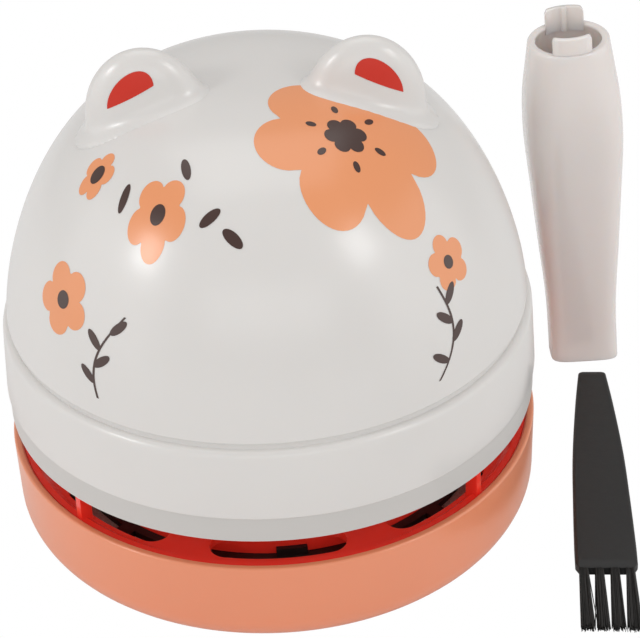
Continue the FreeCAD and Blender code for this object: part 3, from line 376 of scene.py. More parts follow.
def build_materials():
    """Every material by its slot: a colour and a roughness or a finish, and what else a plastic has."""
    settings = look()
    plastics = {
        "coral_plastic": (settings.tray_colour, 0.34, {"coat": 0.7, "scatter": 0.20, "coat_rough": 0.22}),
        # The vent deck's emission is painted light that brightens its red.
        "red_plastic": (settings.deck_colour, 0.18, {"coat": 0.6, "scatter": 0.35, "painted_glow": 0.13}),
        "black_plastic": ((0.012, 0.010, 0.009), 0.55, {}),
        "grey_plastic": (settings.lip_colour, 0.38, {"coat": 0.15}),
        "white_plastic": (settings.shell_colour, 0.30, {"coat": 0.55, "scatter": 0.08, "coat_rough": 0.20}),
        "cap_plastic": ((0.03, 0.03, 0.032), 0.5, {}),
        "fan_plastic": ((0.42, 0.43, 0.44), 0.42, {}),
        "knob_plastic": ((0.56, 0.55, 0.53), 0.45, {}),
        "nozzle_plastic": ((0.83, 0.77, 0.745), 0.20, {"coat": 0.7, "scatter": 0.40}),
        "brush_plastic": ((0.011, 0.011, 0.011), 0.5, {"grain": 0.00002, "texture": 1500.0}),
        "print_orange": (settings.print_colour, 0.30, {"coat": 0.5, "coat_rough": 0.20}),
        "print_ink": (settings.ink_colour, 0.30, {"coat": 0.5, "coat_rough": 0.20}),
        "ear_red": ((0.62, 0.020, 0.004), 0.42, {}),
    }
    finishes = {
        "foot_rubber": ((0.02, 0.02, 0.02), RUBBER),
        "nylon_bristle": ((0.015, 0.015, 0.015), NYLON),
        "filter_felt": ((0.55, 0.54, 0.50), FELT),
        "screw_steel": ((0.50, 0.50, 0.52), {**BRUSHED, "rough": 0.32, "stretch": ALONG_Z}),
        "motor_steel": ((0.58, 0.59, 0.60), {**BRUSHED, "rough": 0.30, "stretch": ALONG_Z}),
        "shaft_steel": ((0.66, 0.67, 0.68), {**BRUSHED, "rough": 0.18, "stretch": ALONG_Z}),
        "socket_metal": ((0.60, 0.60, 0.61), {**BRUSHED, "rough": 0.26, "stretch": ALONG_Y}),
        "brush_hair": ((0.018, 0.017, 0.016), NYLON),
    }
    made = {
        "cell_wrap": cell_wrap("cell_wrap", (0.02, 0.10, 0.34)),
        "board_laminate": board_mask("board_laminate", (0.008, 0.07, 0.025)),
    }
    for name, (colour, rough, more) in plastics.items():
        made[name] = moulded(name, tuple(colour), rough, **more)
    for name, (colour, finish) in finishes.items():
        made[name] = grained(name, colour, **finish)
    return made


MATERIALS = {}


def material(slot):
    """The material of a slot, made once."""
    if not MATERIALS:
        MATERIALS.update(build_materials())
    return MATERIALS[slot]


def add_object(name, data):
    """A new object in the scene's collection."""
    item = bpy.data.objects.new(name, data)
    bpy.context.scene.collection.objects.link(item)
    return item


def link(name, mesh, slot, smooth_angle=40.0):
    """Make an object of a mesh, with its material and with edges sharper than an angle kept sharp."""
    item = add_object(name, mesh)
    mesh.materials.clear()
    mesh.materials.append(material(slot))
    mesh.shade_smooth()
    mesh.set_sharp_from_angle(angle=math.radians(smooth_angle))
    return item


def mesh_of(name, vertices, faces):
    """A mesh with merged doubles and outward normals."""
    mesh = bpy.data.meshes.new(name)
    mesh.from_pydata(vertices, [], faces)
    clean(mesh)
    return mesh


def clean(mesh):
    """Merge doubles, drop flat faces and turn the normals outwards."""
    work = bmesh.new()
    work.from_mesh(mesh)
    bmesh.ops.remove_doubles(work, verts=work.verts, dist=0.000001)
    bmesh.ops.dissolve_degenerate(work, edges=work.edges, dist=0.0000005)
    bmesh.ops.recalc_face_normals(work, faces=work.faces)
    work.to_mesh(mesh)
    work.free()
    mesh.update()


def open_mesh(name, vertices, faces):
    """A plain mesh as given, which may be open."""
    mesh = bpy.data.meshes.new(name)
    mesh.from_pydata([tuple(point) for point in vertices], [], faces)
    mesh.update()
    return mesh


def merged(name, meshes):
    """One mesh from several, which are removed."""
    work = bmesh.new()
    for mesh in meshes:
        work.from_mesh(mesh)
        bpy.data.meshes.remove(mesh)
    whole = bpy.data.meshes.new(name)
    work.to_mesh(whole)
    work.free()
    return whole


def ring_faces(rings, steps, closed=False):
    """Quads between neighbouring rings of points; closed joins the last ring to the first."""
    faces = []
    for ring in range(rings if closed else rings - 1):
        low = ring * steps
        high = (ring + 1) % rings * steps
        for step in range(steps):
            after = (step + 1) % steps
            faces.append((low + step, low + after, high + after, high + step))
    return faces


def finish_piece(item, body, slot, *nodes):
    """Put a piece on the body that it rides on and hide the CAD nodes that it stands for; the slot argument
    is not used.
    """
    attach(item, body)
    if nodes:
        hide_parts(*nodes)
    return item


def revolve(name, outline, steps=None):
    """A closed outline of (radius, height) turned about Z."""
    steps = steps or look().round_steps
    count = len(outline)
    vertices = []
    for step in range(steps):
        angle = 2 * math.pi * step / steps
        vertices += [(r * math.cos(angle), r * math.sin(angle), z) for r, z in outline]
    faces = []
    for step in range(steps):
        after = (step + 1) % steps
        for point in range(count):
            following = (point + 1) % count
            faces.append((step * count + point, after * count + point,
                          after * count + following, step * count + following))
    return mesh_of(name, vertices, faces)


def arc_points(centre, radius, start, end, steps):
    """Points of a round stretch, angles in degrees from the outward direction upwards."""
    points = []
    for step in range(steps + 1):
        angle = math.radians(start + (end - start) * step / steps)
        points.append((centre[0] + radius * math.cos(angle), centre[1] + radius * math.sin(angle)))
    return points


def at_azimuth(radius, azimuth, height):
    """A point at an azimuth in degrees, counted from the front towards +X."""
    angle = math.radians(azimuth)
    return Vector((radius * math.sin(angle), -radius * math.cos(angle), height))


def dome_point(share, lift=0.0):
    """Radius and height on the dome's outline; share runs from 0 at its foot to 1 at the apex."""
    angle = math.pi / 2 * share
    across = max(math.cos(angle), 0.0) ** (2 / DOME_SIDE_POWER)
    up = math.sin(angle) ** (2 / DOME_TOP_POWER)
    return (DOME_RADIUS + lift) * across, DOME_FOOT + (DOME_HEIGHT + lift) * up


def dome_height_at(radius, lift=0.0):
    """Height of the dome's surface over a radius."""
    ratio = min(radius / (DOME_RADIUS + lift), 1.0)
    angle = math.acos(ratio ** (DOME_SIDE_POWER / 2))
    return DOME_FOOT + (DOME_HEIGHT + lift) * math.sin(angle) ** (2 / DOME_TOP_POWER)


def cut_out(item, cutters, sharp=None):
    """Take cutter meshes away from an object; sharp marks again the edges beyond that angle in degrees."""
    tools = []
    for number, mesh in enumerate(cutters):
        tool = add_object(f"cutter_{number}", mesh)
        modifier = item.modifiers.new(f"cut_{number}", "BOOLEAN")
        modifier.operation = "DIFFERENCE"
        modifier.solver = "EXACT"
        modifier.object = tool
        tools.append(tool)
    apply_modifiers(item)
    for tool in tools:
        bpy.data.objects.remove(tool)
    if sharp:
        item.data.set_sharp_from_angle(angle=math.radians(sharp))


def apply_modifiers(item):
    """Make an object's evaluated shape its plain mesh and remove its modifiers."""
    bpy.context.view_layer.update()
    evaluated = item.evaluated_get(bpy.context.evaluated_depsgraph_get())
    mesh = bpy.data.meshes.new_from_object(evaluated)
    old = item.data
    item.modifiers.clear()
    item.data = mesh
    mesh.name = item.name
    bpy.data.meshes.remove(old)


def block(name, low, high, turn=0.0, bevel=0.0, segments=3):
    """A block between two corners, turned about Z by an angle, with rounded edges."""
    work = bmesh.new()
    bmesh.ops.create_cube(work, size=1.0)
    centre = [(a + b) / 2 for a, b in zip(low, high)]
    extent = [b - a for a, b in zip(low, high)]
    bmesh.ops.scale(work, vec=extent, verts=work.verts)
    bmesh.ops.translate(work, vec=centre, verts=work.verts)
    if bevel > 0:
        bmesh.ops.bevel(work, geom=work.edges, offset=bevel, segments=segments, profile=0.5, affect="EDGES")
    bmesh.ops.rotate(work, cent=(0, 0, 0), matrix=Matrix.Rotation(turn, 3, "Z"), verts=work.verts)
    mesh = bpy.data.meshes.new(name)
    work.to_mesh(mesh)
    work.free()
    return mesh


def shell_outline():
    """The shell's section: band, soft shoulder, crease and dome outside, plain walls inside."""
    edge = 0.35 * MM
    outside = [(TRAY_RADIUS - edge * 0.5, LIP_TOP), (TRAY_RADIUS - edge * 0.12, LIP_TOP + edge * 0.4),
               (TRAY_RADIUS, LIP_TOP + edge)]
    band_edge = BAND_TOP - BAND_SHOULDER
    outside += [(BAND_TOP_RADIUS + 0.12 * MM, band_edge - 2.0 * MM), (BAND_TOP_RADIUS, band_edge)]
    reach = BAND_TOP_RADIUS - CREASE_RADIUS
    for step in range(1, 9):
        angle = math.pi / 2 * step / 8
        outside.append((CREASE_RADIUS + reach * math.cos(angle),
                        band_edge + (BAND_TOP + 0.15 * MM - band_edge) * math.sin(angle) ** 0.8))
    outside.append((CREASE_RADIUS - 0.12 * MM, BAND_TOP + 0.55 * MM))
    outside.append((CREASE_RADIUS + 0.05 * MM, BAND_TOP + 1.1 * MM))
    dome = [dome_point(step / 90) for step in range(91)]
    inside = [(max(r - SHELL_WALL, 0.0), z - SHELL_WALL * (z - DOME_FOOT) / DOME_HEIGHT)
              for r, z in reversed(dome[::4])]
    inside[0] = (0.0, DOME_FOOT + DOME_HEIGHT - SHELL_WALL)
    inside += [(BAND_TOP_RADIUS - SHELL_WALL, band_edge), (TRAY_RADIUS - SHELL_WALL, LIP_TOP)]
    dome[-1] = (0.0, DOME_FOOT + DOME_HEIGHT)
    return outside + dome + inside


def knob_window():
    """The cutter of the switch's window."""
    low = KNOB_LEVEL - KNOB_SIZE[1] / 2 - KNOB_FIT
    high = low + KNOB_SIZE[1] + KNOB_TRAVEL + 2 * KNOB_FIT
    half = KNOB_SIZE[0] / 2 + KNOB_FIT
    turn = math.radians(SWITCH_AZIMUTH - 90)
    return block("window", (WINDOW_BACK, -half, low), (WINDOW_REACH, half, high), turn)


def socket_window():
    """The cutter of the charging socket's opening, with rounded ends."""
    half = SOCKET_SIZE[0] / 2 + KNOB_FIT
    low = SOCKET_LOW - KNOB_FIT
    high = low + SOCKET_SIZE[1] + 2 * KNOB_FIT
    return block("port", (-half, SOCKET_BACK, low), (half, WINDOW_REACH, high), 0.0, 1.2 * MM, 5)


def ear_frame(side):
    """The middle of an ear's ellipsoid and its lean."""
    lean = Matrix.Rotation(EAR_LEAN * side, 3, "Y")
    return Vector((EAR_OFFSET * side, -EAR_FORWARD, EAR_LEVEL)), lean


def ear_mesh(side):
    """One ear: an ellipsoid whose foot flares softly into the dome."""
    around = 72
    rings = 56
    centre, lean = ear_frame(side)
    vertices = []
    for ring in range(rings + 1):
        polar = math.pi * 0.80 * ring / rings
        for step in range(around):
            angle = 2 * math.pi * step / around
            local = Vector((EAR_HALF[0] * math.sin(polar) * math.cos(angle),
                            EAR_HALF[1] * math.sin(polar) * math.sin(angle),
                            EAR_HALF[2] * math.cos(polar)))
            point = centre + lean @ local
            outward = Vector((math.cos(angle) / EAR_HALF[0], math.sin(angle) / EAR_HALF[1], 0)).normalized()
            for _ in range(2):
                above = point.z - dome_height_at(math.hypot(point.x, point.y))
                push = EAR_FILLET * math.exp(-max(above, -0.6 * MM) / (0.9 * MM)) * 0.5
                point = point + outward * min(push, EAR_FILLET)
            vertices.append(point)
    faces = ring_faces(rings + 1, around)
    faces.append(tuple(rings * around + step for step in range(around)))
    return mesh_of(f"ear_{side}", vertices, faces)


def ear_inset(side):
    """The red half-ellipse printed on an ear's front face."""
    columns = 40
    rows = 16
    centre, lean = ear_frame(side)
    vertices = []
    for row in range(rows + 1):
        for column in range(columns + 1):
            across = EAR_INSET_HALF * math.cos(math.pi * column / columns)
            up = math.sin(math.pi * column / columns) * row / rows
            x = across + EAR_INSET_SHIFT * side
            z = EAR_INSET_LOW + EAR_INSET_HEIGHT * up - EAR_INSET_SLOPE * across * side
            depth = 1 - (x / EAR_HALF[0]) ** 2 - (z / EAR_HALF[2]) ** 2
            y = -EAR_HALF[1] * math.sqrt(max(depth, 0.0)) - EAR_INSET_LIFT
            vertices.append(centre + lean @ Vector((x, y, z)))
    faces = []
    for row in range(rows):
        for column in range(columns):
            low = row * (columns + 1) + column
            high = low + columns + 1
            faces.append((low, high, high + 1, low + 1))
    return open_mesh(f"ear_inset_{side}", vertices, faces)


def filled_print(place, outline, rings, steps):
    """A filled star-shaped print: place puts a flat point on the dome, outline gives the reach by angle."""
    vertices = [place(0.0, 0.0)]
    for ring in range(1, rings + 1):
        for step in range(steps):
            angle = 2 * math.pi * step / steps
            reach = outline(angle) * ring / rings
            vertices.append(place(reach * math.cos(angle), reach * math.sin(angle)))
    faces = [(0, 1 + step, 1 + (step + 1) % steps) for step in range(steps)]
    for ring in range(rings - 1):
        low = 1 + ring * steps
        for step in range(steps):
            after = (step + 1) % steps
            faces.append((low + step, low + steps + step, low + steps + after, low + after))
    return vertices, faces


def printed_on_dome(centre, outline, lift=COLOUR_LIFT, rings=14, steps=120):
    """A filled print on the dome's crown, laid out as seen from above."""
    def place(across, ahead):
        x = centre[0] + across
        y = centre[1] + ahead
        return Vector((x, y, dome_height_at(math.hypot(x, y), lift)))
    return filled_print(place, outline, rings, steps)


def flank_point(azimuth, share, across, up, lift):
    """A point of the dome's flank: across and up are lengths from a place at an azimuth and a share."""
    radius, _ = dome_point(share)
    turned = math.radians(azimuth) + across / radius
    near = max(share + up / FLANK_LENGTH, 0.0)
    reach, height = dome_point(near, lift)
    return Vector((reach * math.sin(turned), -reach * math.cos(turned), height))


def printed_on_flank(azimuth, share, outline, lift=LEAF_LIFT, offset=(0.0, 0.0)):
    """A filled print on the dome's flank, laid out as seen from that side."""
    def place(across, up):
        return flank_point(azimuth, share, offset[0] + across, offset[1] + up, lift)
    return filled_print(place, outline, 8, 72)


def stem(azimuth, share, bend, length, width=0.24 * MM):
    """A thin curved line on the dome's flank, and the places along it."""
    vertices = []
    knots = []
    steps = 40
    for step in range(steps + 1):
        part = step / steps
        across = bend * math.sin(math.pi * part) + length * 0.25 * part
        up = length * part
        knots.append((across, up))
        for side in (-1, 1):
            vertices.append(flank_point(azimuth, share, across + side * width, up, STEM_LIFT))
    faces = [(2 * step, 2 * step + 1, 2 * step + 3, 2 * step + 2) for step in range(steps)]
    return (vertices, faces), knots


def joined(name, parts):
    """One mesh from several lists of vertices and faces."""
    vertices = []
    faces = []
    for some, more in parts:
        offset = len(vertices)
        vertices += some
        faces += [tuple(index + offset for index in face) for face in more]
    return open_mesh(name, vertices, faces)


def petals(count, radius, depth, turn):
    """The outline of a blossom with rounded petals."""
    def outline(angle):
        wave = abs(math.cos(count * (angle - turn) / 2))
        return radius * (1 - depth + depth * wave ** 0.62)
    return outline


def disc(radius):
    """A round outline."""
    return lambda angle: radius


def oval(long, short, turn):
    """An oval outline turned by an angle."""
    def outline(angle):
        across = math.cos(angle - turn) / long
        up = math.sin(angle - turn) / short
        return 1 / math.hypot(across, up)
    return outline


class VACUUM_OT_shell(bpy.types.Operator):
    """Build the white shell with its ears"""

    bl_idname = "vacuum.shell"
    bl_label = "Shell and ears"

    def execute(self, context):
        shell = link("shell_skin", revolve("shell_skin", shell_outline()), "white_plastic", 50)
        cut_out(shell, [knob_window(), socket_window()], 35)
        finish_piece(shell, "housing", "white_plastic", "top_shell")
        for side, word in ((1, "right"), (-1, "left")):
            ear = link(f"ear_{word}", ear_mesh(side), "white_plastic", 60)
            finish_piece(ear, "housing", "white_plastic")
            inset = link(f"ear_inset_{word}", ear_inset(side), "ear_red")
            finish_piece(inset, "housing", "white_plastic")
        return {"FINISHED"}


def orange_prints():
    """The large blossom and the small ones on the crown and on both flanks."""
    size = look().blossom_size
    parts = [printed_on_dome(BLOSSOM_PLACE, petals(BLOSSOM_PETALS, size, 0.34, BLOSSOM_TURN))]
    for x, y, reach in CROWN_BLOSSOMS:
        parts.append(printed_on_dome((x, y), petals(5, reach, 0.36, 0.6)))
    for azimuth, share, reach, turn, _ in FLANK_BLOSSOMS:
        parts.append(printed_on_flank(azimuth, share, petals(5, reach, 0.36, turn), COLOUR_LIFT))
    return parts


def ink_prints():
    """The blossoms' middles and seeds, the loose leaves, and a sprig on each flank."""
    middle = petals(BLOSSOM_PETALS, 3.6 * MM, 0.3, BLOSSOM_TURN)
    parts = [printed_on_dome(BLOSSOM_PLACE, middle, INK_LIFT)]
    for number in range(BLOSSOM_PETALS):
        angle = BLOSSOM_TURN + math.pi * 2 * (number + 0.5) / BLOSSOM_PETALS
        place = (BLOSSOM_PLACE[0] + SEED_CIRCLE * math.cos(angle),
                 BLOSSOM_PLACE[1] + SEED_CIRCLE * math.sin(angle))
        parts.append(printed_on_dome(place, oval(0.9 * MM, 0.55 * MM, angle), INK_LIFT, 5, 48))
    for x, y, _ in CROWN_BLOSSOMS:
        parts.append(printed_on_dome((x, y), disc(1.3 * MM), INK_LIFT, 6, 48))
    for azimuth, share, _, _, heart in FLANK_BLOSSOMS:
        parts.append(printed_on_flank(azimuth, share, disc(heart), INK_LIFT))
    for x, y, turn in LOOSE_LEAVES:
        leaf = oval(1.9 * MM, 0.75 * MM, math.radians(turn))
        parts.append(printed_on_dome((x, y), leaf, LEAF_LIFT, 6, 64))
    for azimuth, mirror in SPRIGS:
        line, knots = stem(azimuth, SPRIG_SHARE, SPRIG_BEND * mirror, SPRIG_LENGTH)
        parts.append(line)
        for number, knot in enumerate(knots[8:40:8]):
            side = 1 if number % 2 else -1
            leaf = oval(2.1 * MM, 0.8 * MM, math.radians(90 - 50 * side))
            place = (knot[0] + 1.5 * MM * side, knot[1] + 1.2 * MM)
            parts.append(printed_on_flank(azimuth, SPRIG_SHARE, leaf, offset=place))
    return parts


class VACUUM_OT_prints(bpy.types.Operator):
    """Print the blossoms, their seeds and the sprigs on the dome"""

    bl_idname = "vacuum.prints"
    bl_label = "Printed design"

    def execute(self, context):
        orange = link("print_blossoms", joined("print_blossoms", orange_prints()), "print_orange")
        finish_piece(orange, "housing", "white_plastic")
        dark = link("print_seeds", joined("print_seeds", ink_prints()), "print_ink")
        finish_piece(dark, "housing", "white_plastic")
        return {"FINISHED"}


class VACUUM_OT_tray(bpy.types.Operator):
    """Build the coral dust tray with its rounded foot and rim"""

    bl_idname = "vacuum.tray"
    bl_label = "Dust tray"

    def execute(self, context):
        bore = TRAY_RADIUS - TRAY_WALL
        outline = [(COLLAR_RADIUS, 0.0)]
        outline += arc_points((TRAY_LOW_RADIUS - TRAY_ROUND, TRAY_ROUND), TRAY_ROUND, -90, 0, 14)
        outline += arc_points((TRAY_RADIUS - RIM_ROUND, RIM_HEIGHT - RIM_ROUND), RIM_ROUND, 0, 90, 6)
        outline += [(bore + RIM_BEVEL, RIM_HEIGHT), (bore, RIM_HEIGHT - RIM_BEVEL), (bore, SEAT_HEIGHT),
                    (SEAT_RADIUS, SEAT_HEIGHT), (SEAT_RADIUS, FLOOR_TOP + FLOOR_ROUND),
                    (SEAT_RADIUS - FLOOR_ROUND, FLOOR_TOP), (COLLAR_RADIUS, FLOOR_TOP)]
        tray = link("tray_skin", revolve("tray_skin", outline), "coral_plastic", 50)
        recesses = []
        for azimuth in FOOT_AZIMUTHS:
            base = at_azimuth(FOOT_CIRCLE, azimuth, -1 * MM)
            recesses.append(cylinder_mesh("recess", base, FOOT_RADIUS, 1.4 * MM))
        cut_out(tray, recesses, 35)
        finish_piece(tray, "tray", "coral_plastic", "base_ring")
        return {"FINISHED"}


def cylinder_mesh(name, base, radius, height):
    """An upright cylinder on a base point."""
    mesh = revolve(name, [(0.0, 0.0), (radius, 0.0), (radius, height), (0.0, height)], 48)
    mesh.transform(Matrix.Translation(base))
    return mesh


def foot_mesh(azimuth):
    """One round foot pad with a shallow ring under it."""
    outline = [(0.0, FOOT_TOP), (FOOT_RADIUS, FOOT_TOP)]
    outline += arc_points((FOOT_RADIUS - FOOT_ROUND, GROUND + FOOT_ROUND), FOOT_ROUND, 0, -90, 4)
    outline += [(2.6 * MM, GROUND), (2.5 * MM, GROUND + FOOT_DENT), (2.2 * MM, GROUND + FOOT_DENT),
                (2.1 * MM, GROUND), (0.0, GROUND)]
    mesh = revolve("foot", outline, 48)
    mesh.transform(Matrix.Translation(at_azimuth(FOOT_CIRCLE, azimuth, 0)))
    return mesh


class VACUUM_OT_feet(bpy.types.Operator):
    """Build the four rubber feet and the inlet's ring of bristles"""

    bl_idname = "vacuum.feet"
    bl_label = "Feet and inlet bristles"

    def execute(self, context):
        feet = merged("feet_pads", [foot_mesh(azimuth) for azimuth in FOOT_AZIMUTHS])
        clean(feet)
        finish_piece(link("feet_pads", feet, "foot_rubber"), "tray", "foot_rubber", "rubber_feet")
        finish_piece(scattered_bristles(), "tray", "nylon_bristle", "inlet_bristles")
        return {"FINISHED"}


def scattered_bristles():
    """The inlet's bristles: Geometry Nodes sets thin hairs on points of a ring's band."""
    points = bpy.data.meshes.new("bristle_points")
    rng = random.Random(7)
    spots = []
    for number in range(INLET_HAIRS):
        radius = rng.uniform(15.15, 16.85) * MM
        azimuth = 360.0 * number / INLET_HAIRS + rng.uniform(-0.2, 0.2)
        spots.append(at_azimuth(radius, azimuth, INLET_HAIR_LEVEL))
    points.from_pydata([tuple(spot) for spot in spots], [], [])
    item = add_object("inlet_hairs", points)
    tree = bpy.data.node_groups.new("inlet_hairs", "GeometryNodeTree")
    tree.interface.new_socket("Geometry", in_out="INPUT", socket_type="NodeSocketGeometry")
    hair_length = tree.interface.new_socket("Reach", in_out="INPUT", socket_type="NodeSocketFloat")
    tree.interface.new_socket("Geometry", in_out="OUTPUT", socket_type="NodeSocketGeometry")
    entry = tree.nodes.new("NodeGroupInput")
    hair = new_node(tree, "GeometryNodeMeshCone", {
        "Vertices": 5, "Radius Top": 0.10 * MM, "Radius Bottom": 0.16 * MM, "Depth": entry.outputs["Reach"]})
    turn = tree.nodes.new("FunctionNodeRandomValue")
    turn.data_type = "FLOAT_VECTOR"
    feed(tree, turn, {"Min": (math.pi - 0.10, -0.10, 0.0), "Max": (math.pi + 0.10, 0.10, 6.28), "Seed": 3})
    spread = new_node(tree, "GeometryNodeInstanceOnPoints", {
        "Points": entry.outputs["Geometry"], "Instance": hair.outputs["Mesh"],
        "Rotation": turn.outputs["Value"]})
    real = new_node(tree, "GeometryNodeRealizeInstances", {"Geometry": spread.outputs["Instances"]})
    colour = new_node(tree, "GeometryNodeSetMaterial", {
        "Geometry": real.outputs["Geometry"], "Material": material("nylon_bristle")})
    new_node(tree, "NodeGroupOutput", {"Geometry": colour.outputs["Geometry"]})
    modifier = item.modifiers.new("hairs", "NODES")
    modifier.node_group = tree
    modifier[hair_length.identifier] = INLET_HAIR_LENGTH
    apply_modifiers(item)
    return item


class VACUUM_OT_cad_looks(bpy.types.Operator):
    """Give every CAD piece the material of its slot"""

    bl_idname = "vacuum.cad_looks"
    bl_label = "Materials of the CAD pieces"

    def execute(self, context):
        slots = {entry["node"]: entry["material_slot"] for entry in frame["record"]["subparts"]}
        for node, item in frame["nodes"].items():
            item.data.materials.clear()
            item.data.materials.append(material(slots[node]))
        return {"FINISHED"}


def screw_mesh(x, y, low, sign):
    """One pan-headed screw on its shank; sign turns its head up or down."""
    outline = [(0.0, SCREW_HEAD), (0.6 * MM, SCREW_HEAD)]
    outline += arc_points((SCREW_HEAD_RADIUS - 0.7 * MM, 0.5 * MM), 0.7 * MM, 80, 0, 6)
    outline += [(SCREW_HEAD_RADIUS, 0.0), (SCREW_RADIUS, 0.0), (SCREW_RADIUS, 0.2 * MM - SCREW_LENGTH),
                (0.0, -SCREW_LENGTH)]
    mesh = revolve("screw", outline, 40)
    mesh.transform(Matrix.Scale(sign, 4, (0, 0, 1)))
    mesh.transform(Matrix.Translation((x, y, low)))
    return mesh


def cross_tool(x, y, low, high):
    """The cutter of a cross recess, a plus-shaped prism."""
    arm = CROSS_ARM
    half = CROSS_HALF_WIDTH
    corners = [(arm, -half), (arm, half), (half, half), (half, arm), (-half, arm), (-half, half),
               (-arm, half), (-arm, -half), (-half, -half), (-half, -arm), (half, -arm), (half, -half)]
    count = len(corners)
    vertices = [(x + across, y + along, z) for z in (low, high) for across, along in corners]
    faces = [tuple(range(count)), tuple(range(count, 2 * count))]
    for corner in range(count):
        after = (corner + 1) % count
        faces.append((corner, after, after + count, corner + count))
    return mesh_of("cross", vertices, faces)


class VACUUM_OT_screws(bpy.types.Operator):
    """Build the cross-recessed screws of the cover and of the motor's bracket"""

    bl_idname = "vacuum.screws"
    bl_label = "Screws"

    def execute(self, context):
        cover_places = [tuple(at_azimuth(COVER_SCREW_CIRCLE, azimuth, 0))[:2]
                        for azimuth in COVER_SCREW_AZIMUTHS]
        bracket_places = [(BRACKET_SCREW_OFFSET, 0.0), (-BRACKET_SCREW_OFFSET, 0.0)]
        groups = (("cover_screw_heads", cover_places, LIP_LOW, -1, "cover_screws"),
                  ("bracket_screw_heads", bracket_places, BRACKET_SCREW_LEVEL, 1, "bracket_screws"))
        for name, places, low, sign, node in groups:
            mesh = merged("screws", [screw_mesh(x, y, low, sign) for x, y in places])
            clean(mesh)
            item = link(name, mesh, "screw_steel")
            head = low + SCREW_HEAD * sign
            cut_out(item, [cross_tool(x, y, head - CROSS_DEPTH, head + CROSS_DEPTH) for x, y in places])
            finish_piece(item, "housing", "screw_steel", node)
        return {"FINISHED"}


def section_points(half_width, half_depth, power, steps):
    """Points of a closed superellipse section."""
    points = []
    for step in range(steps):
        angle = 2 * math.pi * step / steps
        across = math.copysign(abs(math.cos(angle)) ** (2 / power), math.cos(angle))
        ahead = math.copysign(abs(math.sin(angle)) ** (2 / power), math.sin(angle))
        points.append((half_width * across, half_depth * ahead))
    return points


def smooth_between(table, height):
    """Values of a table of (height, ...) rows at a height, on a smooth curve through the rows."""
    rows = len(table)
    index = max(i for i in range(rows - 1) if table[i][0] <= height or i == 0)
    low, high = table[index], table[index + 1]
    before = table[max(index - 1, 0)]
    after = table[min(index + 2, rows - 1)]
    share = min(max((height - low[0]) / (high[0] - low[0]), 0.0), 1.0)
    values = []
    for column in range(1, len(low)):
        span = high[0] - low[0]
        slope_low = (high[column] - before[column]) / (high[0] - before[0]) * span
        slope_high = (after[column] - low[column]) / (after[0] - low[0]) * span
        values.append((2 * share ** 3 - 3 * share ** 2 + 1) * low[column]
                      + (share ** 3 - 2 * share ** 2 + share) * slope_low
                      + (3 * share ** 2 - 2 * share ** 3) * high[column]
                      + (share ** 3 - share ** 2) * slope_high)
    return values


def nozzle_rings():
    """Rings of points in millimetres: up the outside, over the mouth's round edge and down the bore."""
    length = NOZZLE_LENGTH / MM
    mouth = NOZZLE_MOUTH / MM
    wall = NOZZLE_WALL / MM
    rings = []

    def add(half_width, half_depth, power, height):
        points = section_points(half_width, half_depth, power, NOZZLE_STEPS)
        rings.append([(x, y, height) for x, y in points])

    for level in range(NOZZLE_LEVELS + 1):
        height = NOZZLE_FOOT + (length - MOUTH_EDGE - NOZZLE_FOOT) * level / NOZZLE_LEVELS
        add(*smooth_between(NOZZLE_TABLE, height), height)
    for radius, sign, turns in ((mouth, -1, (30, 60, 90)), (mouth - wall, 1, (90, 45, 0))):
        for turn in turns:
            angle = math.radians(turn)
            edge_radius = radius + sign * MOUTH_EDGE * (1 - math.cos(angle))
            add(edge_radius, edge_radius, 2.0, length - MOUTH_EDGE * (1 - math.sin(angle)))
    for level in range(NOZZLE_LEVELS, -1, -1):
        height = NOZZLE_FOOT + (length - MOUTH_EDGE - BORE_DROP - NOZZLE_FOOT) * level / NOZZLE_LEVELS
        half_width, half_depth, power = smooth_between(NOZZLE_TABLE, height)
        add(half_width - wall, half_depth - wall, power, height)
    return rings


class VACUUM_OT_nozzle(bpy.types.Operator):
    """Build the crevice nozzle with its two keys"""

    bl_idname = "vacuum.nozzle"
    bl_label = "Crevice nozzle"

    def execute(self, context):
        rings = nozzle_rings()
        vertices = [(x * MM, y * MM, z * MM) for ring in rings for x, y, z in ring]
        mesh = mesh_of("nozzle_skin", vertices, ring_faces(len(rings), NOZZLE_STEPS, closed=True))
        stand_nozzle(mesh)
        nozzle = link("nozzle_skin", mesh, "nozzle_plastic", 60)
        floor_cut = block("floor_cut", (40 * MM, 20 * MM, -20 * MM), (90 * MM, 60 * MM, GROUND))
        cut_out(nozzle, [floor_cut], 50)
        finish_piece(nozzle, "nozzle_piece", "nozzle_plastic", "nozzle")
        for sign, word in ((-1, "front"), (1, "back")):
            mesh = key_mesh(sign)
            stand_nozzle(mesh)
            key = link(f"nozzle_key_{word}", mesh, "nozzle_plastic", 45)
            finish_piece(key, "nozzle_piece", "nozzle_plastic")
        return {"FINISHED"}


def stand_nozzle(mesh):
    """Carry a mesh built along the nozzle's axis to where the nozzle stands, leaning."""
    mesh.transform(Matrix.Translation((*NOZZLE_PLACE, GROUND)) @ Matrix.Rotation(-NOZZLE_LEAN, 4, "Y"))


